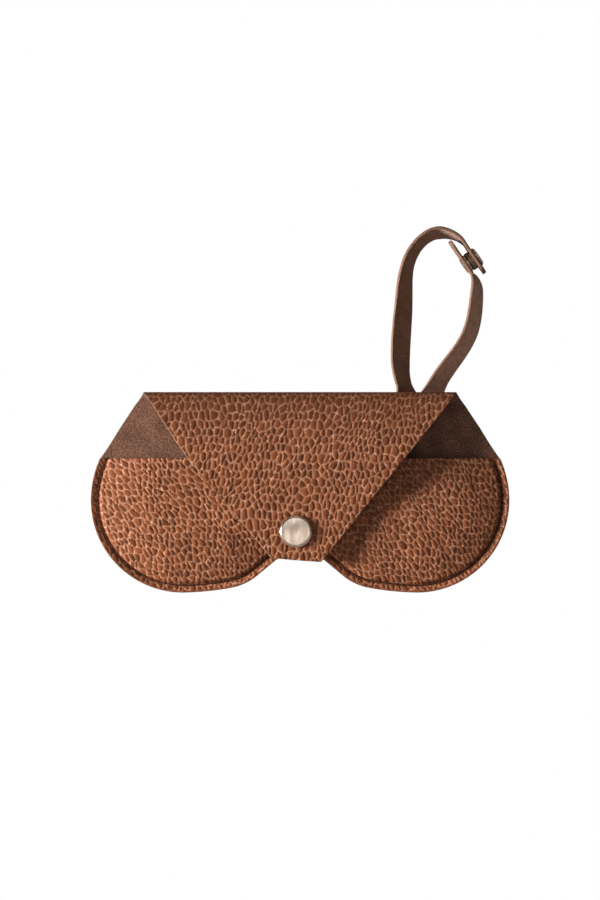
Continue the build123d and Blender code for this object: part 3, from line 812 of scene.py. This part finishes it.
top_half = taper(FLAP_START)
left_side = soften(np.array([(-top_half, FOLD_Z), FLAP_LEFT_BULGE, FLAP_TIP_LEFT], float), 4, 0.2)
tip_middle = ((FLAP_TIP_LEFT[0] + FLAP_TIP_RIGHT[0]) / 2, FLAP_TIP_Z + 0.7)
tip = soften(np.array([left_side[-1], tip_middle, FLAP_TIP_RIGHT], float))
flap_line = np.vstack([left_side, tip[1:], [[top_half, FOLD_Z]]])
flap_loop = resample(np.stack([flap_line[:, 0], FLAP_START + FOLD_Z - flap_line[:, 1]], 1), GRAIN_STEP)
flap = blank.make("leather_flap", flap_loop, GRAIN_STEP, [GRAIN, SUEDE, CUT], (), level(FLAP_START))
attach(flap, "flap", "flap")

# ---------- the pocket in front ----------
def pocket_depth(flat):
    """Depth of the pocket's outer face: a flat sewn rim, a steep wall and a gentle crown."""
    r = sewn_distance(flat)
    rim = 2 * LEATHER
    wall = WALL_RISE * ease(r, 3.2, 4.6) + rim_lift(flat)
    share = np.clip((r - CROWN_START) / (CROWN_INSET - CROWN_START), 0, 1)
    crown = (POCKET_DEPTH - rim - WALL_RISE) * np.sin(share * math.pi / 2)
    depth = rim + wall + crown
    depth -= SEAM_GROOVE * np.exp(-((r - SEAM_INSET) / 0.5) ** 2)
    depth -= 0.35 * np.exp(-(r / 0.45) ** 2)
    pad = np.hypot(flat[:, 0] - SNAP_X, flat[:, 1] - SNAP_Z)
    press = 1 - ease(pad, PAD_RADIUS - 0.4, PAD_RADIUS + 9)
    return depth * (1 - press) + np.minimum(depth, PAD_DEPTH) * press


def pocket_place(flat):
    """Outer face and outward normal of the pocket at (x, z)."""
    d = pocket_depth(flat)
    dx = (pocket_depth(flat + [0.15, 0]) - d) / 0.15
    dz = (pocket_depth(flat + [0, 0.15]) - d) / 0.15
    normal = unit(np.stack([-dx, -np.ones_like(d), -dz], 1))
    return np.stack([flat[:, 0], -d, flat[:, 1]], 1), normal


def pocket_pattern(flat):
    """Grain of the pocket, pressed flat along the seam and at the rim."""
    r = sewn_distance(flat)
    height, crease, own = grain(flat + 520, 2.4, 1.3, -22, 0.37)
    keep = ease(r, 0.2, 1.2) * (1 - 0.75 * np.exp(-((r - SEAM_INSET) / 0.5) ** 2))
    return height * keep, crease * (0.35 + 0.65 * keep), own


pocket = Sheet(pocket_place, pocket_pattern, LEATHER - 0.02)
mouth = np.array([[0, MOUTH_Z]])
pocket_loop = mirrored(np.vstack([pouch_right, mouth]))
pocket_loop = resample(thin_out(pocket_loop, GRAIN_STEP), GRAIN_STEP)
front = pocket.make("leather_pocket", pocket_loop, GRAIN_STEP, [GRAIN, SUEDE, BAND_EDGE])
attach(front, "pouch", "front_panel")

# ---------- seam ----------
def offset_inwards(path, amount):
    """The open line moved to its left."""
    tangent = unit(np.gradient(path, axis=0))
    return path + np.stack([-tangent[:, 1], tangent[:, 0]], 1) * amount


def along_line(path, count):
    """Evenly spaced places along an open line, at the middle of each step."""
    length = np.concatenate([[0], np.cumsum(np.linalg.norm(np.diff(path, axis=0), axis=1))])
    at = (np.arange(count) + 0.5) / count * length[-1]
    return np.stack([np.interp(at, length, path[:, k]) for k in (0, 1)], 1)


STITCH_PITCH = 3.0
THREAD_RADIUS = 0.35
sewn_mouth = np.vstack([pouch_right[::-1] * [-1, 1], pouch_right[1:]])
seam_line = offset_inwards(thin_out(sewn_mouth, 0.5), SEAM_INSET)
seam_length = np.linalg.norm(np.diff(seam_line, axis=0), axis=1).sum()
needle_holes = along_line(seam_line, int(round(seam_length / STITCH_PITCH)))


def twisted_stitch(start, end, base_depth, forward):
    """Two plies laid round each other; the ends dip into the needle holes."""
    rings, sides = 11, 6
    run = end - start
    length = np.linalg.norm(run)
    run = run / length
    left = np.array([-run[1], run[0]])
    verts, faces = [], []
    for ply in (0, 1):
        base = len(verts)
        for i in range(rings):
            t = i / (rings - 1)
            lay = 2 * math.pi * t * 1.5 + ply * math.pi
            dip = 1.1 * (max(0, abs(t - 0.5) - 0.36) / 0.14) ** 2
            middle = start + run * length * (0.02 + 0.96 * t)
            lift = THREAD_RADIUS - dip * THREAD_RADIUS * 2
            offset = 0.5 * THREAD_RADIUS
            cy = middle + left * offset * math.cos(lay)
            cd = lift + offset * math.sin(lay)
            for k in range(sides):
                a = 2 * math.pi * k / sides
                spot = cy + left * 0.55 * THREAD_RADIUS * math.cos(a)
                depth = base_depth + forward * (cd + 0.55 * THREAD_RADIUS * math.sin(a))
                verts.append((spot[0], -depth, spot[1]))
        for i in range(rings - 1):
            for k in range(sides):
                a, b = base + i * sides + k, base + i * sides + (k + 1) % sides
                faces.append((a, b, b + sides, a + sides))
        faces.append(tuple(base + k for k in range(sides))[::-1])
        faces.append(tuple(base + (rings - 1) * sides + k for k in range(sides)))
    return verts, faces


def make_seam(name, base_depth, forward, node_name):
    """One of the seam's two threads, stitch by stitch."""
    verts, faces = [], []
    for a, b in zip(needle_holes, needle_holes[1:]):
        v, f = twisted_stitch(a, b, base_depth, forward)
        faces += [tuple(i + len(verts) for i in face) for face in f]
        verts += v
    seam = build(name, verts, faces, [0] * len(faces), [THREAD])
    attach(seam, "pouch", node_name)


make_seam("needle_thread", 2 * LEATHER - SEAM_GROOVE, 1, "seam_needle_thread")
make_seam("bobbin_thread", 0.4, -1, "seam_bobbin_thread")


# ---------- strap ----------
def clamped_spline(points, start, end, count):
    """Smooth curve through points with unit tangents given at both ends."""
    p = np.array(points, float)
    h = np.linalg.norm(np.diff(p, axis=0), axis=1)
    n = len(p)
    a = np.zeros((n, n))
    rhs = np.zeros((n, 2))
    a[0, 0] = a[-1, -1] = 1
    rhs[0], rhs[-1] = unit(np.array(start, float)), unit(np.array(end, float))
    for i in range(1, n - 1):
        a[i, i - 1:i + 2] = h[i], 2 * (h[i - 1] + h[i]), h[i - 1]
        rhs[i] = 3 * (h[i] * (p[i] - p[i - 1]) / h[i - 1] + h[i - 1] * (p[i + 1] - p[i]) / h[i])
    m = np.linalg.solve(a, rhs)
    knots = np.concatenate([[0], np.cumsum(h)])
    u = np.linspace(0, knots[-1], count)
    k = np.clip(np.searchsorted(knots, u, side="right") - 1, 0, n - 2)
    t = ((u - knots[k]) / h[k])[:, None]
    hk = h[k][:, None]
    curve = (2 * t ** 3 - 3 * t ** 2 + 1) * p[k] + (t ** 3 - 2 * t ** 2 + t) * hk * m[k]
    return curve + (3 * t ** 2 - 2 * t ** 3) * p[k + 1] + (t ** 3 - t ** 2) * hk * m[k + 1]


TAB_SLOPE = math.radians(-55.5)
TAB_ALONG = np.array([math.cos(TAB_SLOPE), math.sin(TAB_SLOPE)])
TAB_OUT = np.array([-TAB_ALONG[1], TAB_ALONG[0]])
LOOP_TOP = np.array([60.3, 112.0])
TAB_START = np.array([71.2, 106.9])
TAB_LENGTH = 15.0
TAB_SNAP = 7.3
SNAP_STACK = FLAP_REST_DEPTH - LEATHER - PAD_DEPTH
OUTER_SNAP = TAB_START + TAB_ALONG * TAB_SNAP
INNER_SNAP = OUTER_SNAP - TAB_OUT * (SNAP_STACK + STRAP_LEATHER)
INNER_ABOVE, INNER_BELOW = 12.3, 5.5
TAB_CORNER = 3.5
FOOT_LOW, FOOT_HIGH = STRAP_HINGE_Z - 3.2, STRAP_HINGE_Z + 3.0
# How far each leg is turned from edge-on, as (height, degrees)
RIGHT_TURNS = [
    (40.8, 90), (45.5, 58), (50.7, 52), (61, 45), (71.4, 43), (81.7, 37), (89, 29), (93, 12), (95.5, 0)]
LEFT_TURNS = [
    (40.8, 90), (45.6, 42), (50, 48), (55.9, 60), (66.2, 65), (76.5, 60), (86.8, 48), (97.1, 34), (108, 27)]
TWIST_AT_TOP = LEFT_TURNS[-1][1]


stations = []
marks = {}


def station(xz, across, width=STRAP_WIDTH, depth=STRAP_OUTER_DEPTH):
    """Adds one cut across the strap: its middle, the direction of its width and the width."""
    stations.append(((xz[0], -depth, xz[1]), tuple(across), width))


def turned_station(xz, step, degrees):
    """A cut across the loop where the strap is turned about its run by an angle."""
    a = math.radians(degrees)
    station(xz, np.array([0, math.cos(a), 0]) + np.array([step[1], 0, -step[0]]) * math.sin(a))


def mark(name):
    """Names the last station."""
    marks[name] = len(stations) - 1


# Right leg, from the free tip of the inner end down to the case
tip_inner = INNER_SNAP - TAB_ALONG * INNER_ABOVE
heel = INNER_SNAP + TAB_ALONG * INNER_BELOW
for t in np.linspace(0, 1, 24, endpoint=False):
    station(tip_inner + (heel - tip_inner) * t, (0, 1, 0))
foot = np.array([right_leg_x(FOOT_HIGH), FOOT_HIGH])
lean_step = np.array([math.sin(LEAN), math.cos(LEAN)])
right_run = clamped_spline([foot, (72.9, 67.9), (76.0, 83.0), heel], lean_step, -TAB_ALONG, 90)
LEAN_WIDTH = STRAP_WIDTH / math.cos(LEAN)


def smooth_turn(z, places):
    """How far the strap is turned from edge-on at a height, without sudden changes."""
    return np.mean([np.interp(z + shift, *zip(*places)) for shift in np.linspace(-2, 2, 9)])


def right_station(xz, step):
    """A cut across the leaning right leg; it turns from a level cut at the foot to a square one."""
    turn = math.radians(smooth_turn(xz[1], RIGHT_TURNS))
    square = np.array([step[1], 0, -step[0]])
    level_share = 1 - ease(xz[1], FOOT_LOW, FOOT_HIGH + 10)
    flatwise = unit(square * (1 - level_share) + np.array([1.0, 0, 0]) * level_share)
    reach = np.array([0, math.cos(turn), 0]) + flatwise * math.sin(turn) / max(0.8, flatwise @ square)
    station(xz, unit(reach), STRAP_WIDTH * np.linalg.norm(reach))


right_step = unit(np.gradient(right_run, axis=0))
for i in range(89, -1, -1):
    right_station(right_run[i], right_step[i])
mark("right_foot_top")
for z in np.linspace(FOOT_HIGH, FOOT_LOW, 9)[1:]:
    right_station(np.array([right_leg_x(z), z]), lean_step)
mark("right_foot_low")

# Root: in through the upper slit, down behind the pocket, out and up through the lower slit
root = [(right_leg_x(FOOT_LOW), STRAP_OUTER_DEPTH, FOOT_LOW, LEAN_WIDTH)]
root.append((ROOT_BEND[0], STRAP_OUTER_DEPTH, ROOT_BEND[1], ROOT_BEND[2]))
root.append((ROOT_ENTRY[0], STRAP_INNER_DEPTH, ROOT_ENTRY[1], ROOT_ENTRY[2]))
root.append((HAIRPIN_X + ROOT_HEEL_SHIFT, STRAP_INNER_DEPTH, HAIRPIN_Z + HAIRPIN_RADIUS, STRAP_WIDTH))
for step in range(9):
    a = math.pi * step / 8
    depth = STRAP_OUTER_DEPTH + HAIRPIN_RADIUS * (1 + math.cos(a))
    root.append((HAIRPIN_X, depth, HAIRPIN_Z - HAIRPIN_RADIUS * math.sin(a), STRAP_WIDTH))
left_x = left_leg_x(FOOT_LOW)
root.append(((HAIRPIN_X + left_x) / 2, STRAP_OUTER_DEPTH, (HAIRPIN_Z + FOOT_LOW) / 2, STRAP_WIDTH))
root.append((left_x, STRAP_OUTER_DEPTH, FOOT_LOW, STRAP_WIDTH))
root = soften(np.array(root, float), 3, 0.2)
root = resample(root, 0.55, closed=False)
for x, depth, z, strap_width in root[1:]:
    station((x, z), (1, 0, 0), strap_width, depth)
mark("left_foot_low")

# Left leg, over the top and down to the free tip of the outer end
for z in np.linspace(FOOT_LOW, FOOT_HIGH, 9)[1:]:
    turned_station((left_leg_x(z), z), (0, 1), smooth_turn(z, LEFT_TURNS))
mark("left_foot_top")
left_run = clamped_spline(
    [(left_leg_x(FOOT_HIGH), FOOT_HIGH), (43.3, 60.0), (44.8, 84.0), (48.6, 103.4), LOOP_TOP],
    (-LEFT_LEAN, 1), (1, 0), 120)
left_step = unit(np.gradient(left_run, axis=0))
for xz, step in zip(left_run[1:], left_step[1:]):
    turned_station(xz, step, smooth_turn(xz[1], LEFT_TURNS))
mark("top")
top_run = clamped_spline([LOOP_TOP, TAB_START], (1, 0), TAB_ALONG, 24)
top_step = unit(np.gradient(top_run, axis=0))
for i in range(1, 24):
    turned_station(top_run[i], top_step[i], TWIST_AT_TOP * (1 - i / 23))
mark("tab")
for t in np.linspace(0, 1, 30)[1:]:
    station(TAB_START + TAB_ALONG * TAB_LENGTH * t, (0, 1, 0))

strap_places = np.array([s[0] for s in stations])
strap_across = unit(np.array([s[1] for s in stations], float))
strap_width = np.array([s[2] for s in stations])
strap_run = np.concatenate([[0], np.cumsum(np.linalg.norm(np.diff(strap_places, axis=0), axis=1))])


def even_out(values):
    """Columns of values at the stations, read off at even steps along the strap."""
    return np.stack([np.interp(strap_at, strap_run, column) for column in values.T], 1)


STRAP_STEP = 0.42
strap_at = np.linspace(0, strap_run[-1], int(strap_run[-1] / STRAP_STEP))
places = even_out(strap_places)
across = even_out(strap_across)
width = np.interp(strap_at, strap_run, strap_width)
mark_at = {key: int(round(strap_run[i] / strap_run[-1] * (len(strap_at) - 1))) for key, i in marks.items()}
along = unit(np.gradient(places, axis=0))
for _ in range(2):
    along = unit(np.vstack([along[:1], (along[:-2] + along[1:-1] * 2 + along[2:]) / 4, along[-1:]]))
across = unit(across)
upright = unit(np.cross(along, across))


half = width / 2
for gap in (strap_at, strap_at[-1] - strap_at):
    # Both free tips are rounded
    g = np.clip(gap, 0, TAB_CORNER)
    half = half - TAB_CORNER + np.sqrt(np.maximum(TAB_CORNER ** 2 - (TAB_CORNER - g) ** 2, 0))
EDGE_CORNER = 0.42
grain_us = np.linspace(-1, 1, 23)
profile = [("grain", u) for u in grain_us] + [("edge", a) for a in (70, 40, 0, -40, -70)]
profile += [("suede", -u) for u in np.linspace(-1, 1, 11)]
profile += [("edge_left", a) for a in (-70, -40, 0, 40, 70)]
rings, ring_pattern, ring_crease, ring_own = [], [], [], []
inner = np.maximum(half - EDGE_CORNER, 0.3)
zero = np.zeros(len(strap_at))
for kind, value in profile:
    c, o = zero, zero + 0.5
    if kind in ("grain", "suede"):
        u = value * inner
        flat = np.stack([u + 40, strap_at + 800], 1)
        if kind == "grain":
            h, c, o = grain(flat, 1.25, 1.3, 0, 0.09)
            o = 0.3 + 0.4 * o
            v = STRAP_LEATHER / 2 + h - 0.05 * (u / inner) ** 4
        else:
            v = 0.07 * waves(flat, 2.2, 9) * waves(flat, 5.1, 10) - STRAP_LEATHER / 2
        ring_pattern.append(np.stack([u, strap_at, zero], 1))
    else:
        a = math.radians(value)
        u = (1 if kind == "edge" else -1) * (inner + EDGE_CORNER * math.cos(a))
        uneven = 1 + 0.02 * waves(np.stack([strap_at, zero], 1), 6, 21)
        v = (STRAP_LEATHER / 2) * math.sin(a) * uneven
        ring_pattern.append(np.stack([strap_at, v, zero + 1], 1))
    rings.append(places + across * u[:, None] + upright * v[:, None])
    ring_crease.append(c)
    ring_own.append(o)
rings = np.array(rings).transpose(1, 0, 2)
ring_pattern = np.array(ring_pattern).transpose(1, 0, 2)
ring_crease = np.array(ring_crease).T
ring_own = np.array(ring_own).T
d_along = np.gradient(rings, axis=0)
d_round = np.roll(rings, -1, 1) - np.roll(rings, 1, 1)
ring_normal = unit(np.cross(d_round, d_along))
facing = int(np.sign((ring_normal * (rings - places[:, None, :])).sum(2).mean()))
ring_normal *= facing
KIND_SLOT = {"grain": 0, "suede": 1, "edge": 2, "edge_left": 2}


def strap_slice(name, first, end):
    """The strap between two of its rings; its free tips are closed."""
    ring = len(profile)
    rows = end - first + 1
    faces, slots = [], []
    for i in range(rows - 1):
        for k in range(ring):
            a, b = i * ring + k, i * ring + (k + 1) % ring
            faces.append((a, b, b + ring, a + ring)[::facing])
            here, after = profile[k][0], profile[(k + 1) % ring][0]
            slots.append(KIND_SLOT[here] if here == after else 2)
    if first == 0:
        faces.append(tuple(range(ring))[::-facing])
        slots.append(2)
    if end == last:
        faces.append(tuple((rows - 1) * ring + k for k in range(ring))[::facing])
        slots.append(2)
    part = slice(first, end + 1)
    values = {"grain_crease": ring_crease[part].ravel(), "grain_own": ring_own[part].ravel()}
    values["pattern"] = ring_pattern[part].reshape(-1, 3)
    verts, normals = rings[part].reshape(-1, 3), ring_normal[part].reshape(-1, 3)
    made = build(name, verts, faces, slots, [STRAP_GRAIN, STRAP_SUEDE, STRAP_EDGE], normals, values)
    return made


def steps(mm):
    """Number of stations in a length of strap."""
    return max(2, int(round(mm / (strap_at[1] - strap_at[0]))))


last = len(strap_at) - 1
top, tab = mark_at["top"], mark_at["tab"]
crown = (top - steps(5.0), top + steps(5.0))
shoulder = (tab - steps(4.4), tab + steps(2.6))

RIGID_PARTS = (
    ("right_leg", 0, mark_at["right_foot_top"], "strap_loop"),
    ("root", mark_at["right_foot_low"], mark_at["left_foot_low"], "pouch"),
    ("left_leg", mark_at["left_foot_top"], crown[0], "strap_loop"),
    ("top", crown[1], shoulder[0], "strap_bend"),
    ("outer_end", shoulder[1], last, "strap_end"))
for part, first, end, body in RIGID_PARTS:
    attach(strap_slice(f"strap_leather_{part}", first, end), body, f"strap_{part}")

# Stretches of strap between two bodies, built where they rest and put on no body
BENT_PARTS = (
    ("right_foot", mark_at["right_foot_top"], mark_at["right_foot_low"], "strap_loop", "pouch"),
    ("left_foot", mark_at["left_foot_low"], mark_at["left_foot_top"], "pouch", "strap_loop"),
    ("crown", crown[0], crown[1], "strap_loop", "strap_bend"),
    ("shoulder", shoulder[0], shoulder[1], "strap_bend", "strap_end"))
for part, first, end, body, next_body in BENT_PARTS:
    piece = strap_slice(f"strap_leather_{part}", first, end)
    inset = (places[end] - places[first]) * 0.08
    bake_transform(piece)


# ---------- press studs ----------
def lathe(name, origin, axis, profile_points, metal, segments=72, dent=0.0):
    """A part turned about an axis from (radius, height) points; dent is how uneven its face is."""
    axis = unit(np.array(axis, float))
    side = unit(np.cross(axis, (0, 0, 1) if abs(axis[2]) < 0.9 else (1, 0, 0)))
    other = np.cross(axis, side)
    verts, faces = [], []
    rows = []
    for radius, height in profile_points:
        if radius < 1e-6:
            rows.append([len(verts)])
            verts.append(np.array(origin) + axis * height)
            continue
        rows.append(list(range(len(verts), len(verts) + segments)))
        for k in range(segments):
            a = 2 * math.pi * k / segments
            spot = (side * math.cos(a) + other * math.sin(a)) * radius
            highlight_patches = 0
            if dent and height > 0.5:
                share = max(0, 1 - (radius / (CAP_RADIUS - 0.9)) ** 4)
                on_face = np.array([[radius * math.cos(a), radius * math.sin(a)]])
                highlight_patches = dent * share * waves(on_face, 9, 33)[0]
            verts.append(np.array(origin) + axis * (height + highlight_patches) + spot)
    for low, high in zip(rows, rows[1:]):
        for k in range(segments):
            j = (k + 1) % segments
            if len(low) == 1:
                faces.append((low[0], high[j], high[k]))
            elif len(high) == 1:
                faces.append((low[k], low[j], high[0]))
            else:
                faces.append((low[k], low[j], high[j], high[k]))
    return build(name, verts, faces, [0] * len(faces), [metal])


def rounded_cap(radius, thickness):
    """Profile of a cap: shallow dished face, bright bevel, rolled rim and the rivet behind it."""
    points = [(0, thickness - 0.06)]
    for t in np.linspace(0.06, 1, 22):
        points.append(((radius - 0.95) * t, thickness - 0.06 * (1 - t ** 2)))
    for inwards, sunk in ((0.88, 0.01), (0.6, 0.13), (0.3, 0.31)):
        points.append((radius - inwards, thickness - sunk))
    for a in np.linspace(60, -70, 9):
        r = math.radians(a)
        points.append((radius - 0.32 + 0.32 * math.cos(r), thickness * 0.42 + 0.34 * math.sin(r)))
    points += [(radius - 0.4, 0.03), (RIVET_RADIUS, 0.0), (RIVET_RADIUS, -RIVET_LENGTH), (0, -RIVET_LENGTH)]
    return points[::-1]


cap_place = (SNAP_X, -FLAP_REST_DEPTH, SNAP_Z)
cap_profile = rounded_cap(CAP_RADIUS, CAP_THICKNESS)
flap_cap = lathe("flap_cap", cap_place, (0, -1, 0), cap_profile, GOLD, 96, 0.06)
attach(flap_cap, "flap", "flap_snap_cap")
STRAP_CAP_RADIUS = 4.3
outer_face = OUTER_SNAP + TAB_OUT * STRAP_LEATHER / 2
strap_cap_place = (outer_face[0], -STRAP_OUTER_DEPTH, outer_face[1])
cap_profile = rounded_cap(STRAP_CAP_RADIUS, CAP_THICKNESS)
strap_cap = lathe("strap_cap", strap_cap_place, (TAB_OUT[0], 0, TAB_OUT[1]), cap_profile, GOLD)
attach(strap_cap, "strap_end", "strap_snap_cap")

INNER_PARTS = {"socket": AGED, "stud": BRASS, "post": BRASS, "spring": WIRE}
for name, thing in frame["nodes"].items():
    kind = name.split("_")[-1]
    if kind in INNER_PARTS and not thing.hide_render:
        thing.data.materials.clear()
        thing.data.materials.append(INNER_PARTS[kind])

# ---------- floor, light and camera ----------
FLOOR_GAP, FLOOR_HALF = 0.0004, 3.0
floor_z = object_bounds()[0].z - FLOOR_GAP
floor_mesh = bpy.data.meshes.new("floor")
corners = [(x * FLOOR_HALF, y * FLOOR_HALF, floor_z) for x, y in ((-1, -1), (1, -1), (1, 1), (-1, 1))]
floor_mesh.from_pydata(corners, [], [(0, 1, 2, 3)])
floor = bpy.data.objects.new("floor", floor_mesh)
bpy.context.scene.collection.objects.link(floor)
floor_material, floor_tree, floor_shader = material("pale_floor")
# Seen directly, the floor is nearly as pale as the backdrop; it lights the case only by what it reflects
floor_seen = floor_tree.nodes.new("ShaderNodeLightPath")
floor_looks = {
    "Base Color": (0.86, 0.86, 0.86, 1), "Roughness": 0.8, "Emission Color": (1, 1, 1, 1),
    "Emission Strength": times(floor_tree, (floor_seen, "Is Camera Ray"), 0.6)}
for key, value in floor_looks.items():
    set_input(floor_tree, floor_shader, key, value)
floor_mesh.materials.append(floor_material)


def area_light(name, place, size_x, size_y, power, colour=(1, 1, 1)):
    """A rectangular light that faces the middle of the scene."""
    data = bpy.data.lights.new(name, "AREA")
    data.shape = "RECTANGLE"
    data.size, data.size_y = size_x, size_y
    data.energy = power
    data.color = colour
    lamp = bpy.data.objects.new(name, data)
    bpy.context.scene.collection.objects.link(lamp)
    lamp.location = place
    lamp.rotation_euler = (-Vector(place)).to_track_quat("-Z", "Y").to_euler()


area_light("key", (-1.5, -0.46, 0.04), 0.42, 0.32, 84.0, (1.0, 0.97, 0.94))
area_light("front_fill", (0.15, -1.4, 0.25), 1.2, 0.9, 0.9)
area_light("top", (0.0, -0.25, 1.1), 0.9, 0.9, 0.3)
# A card behind the camera that shows in the stud's cap
area_light("mirror_card", (-0.05, -2.4, 0.12), 0.34, 0.5, 0.45)

# The world is white to the camera and a soft grey light to the case; shiny metal mirrors an uneven room
world = bpy.data.worlds.new("studio")
bpy.context.scene.world = world
world.use_nodes = True
tree = world.node_tree
tree.nodes.clear()
ray = tree.nodes.new("ShaderNodeLightPath")
room_place = (tree.nodes.new("ShaderNodeTexCoord"), "Generated")
room = noise(tree, stretched(tree, room_place, (4.0, 1.0, 2.0)), 1.6, 1.0)
panels = ramp(tree, room, 0.43, 0.54, 0.5, 1.6)
light = node(tree, "ShaderNodeMix", p_data_type="FLOAT", i0=(ray, "Is Glossy Ray"), i2=1.0, i3=panels)
lit = node(tree, "ShaderNodeBackground", i0=(light, 0), i1=0.13)
seen = node(tree, "ShaderNodeBackground", i0=(1, 1, 1, 1), i1=1.0)
mixer = node(tree, "ShaderNodeMixShader", i0=(ray, "Is Camera Ray"), i1=(lit, 0), i2=(seen, 0))
node(tree, "ShaderNodeOutputWorld", i0=(mixer, 0))

bpy.context.scene.view_settings.view_transform = "Standard"
bpy.context.scene.view_settings.look = "None"

# The camera stands level with the floor, square to the case's front
camera_data = bpy.data.cameras.new("camera")
camera = bpy.data.objects.new("camera", camera_data)
bpy.context.scene.collection.objects.link(camera)
bpy.context.scene.camera = camera
VIEW_HEIGHT = 0.3866
MIDDLE_Z = 0.0181
DISTANCE = 2.2
camera.location = (0, -DISTANCE, floor_z)
camera.rotation_euler = (math.pi / 2, 0, 0)
camera_data.sensor_width = 36
camera_data.lens = 36 * (DISTANCE - CROWN_DEPTH * MM) / VIEW_HEIGHT
camera_data.shift_y = (MIDDLE_Z - camera.location.z) / VIEW_HEIGHT
camera_data.clip_start, camera_data.clip_end = 0.1, 20
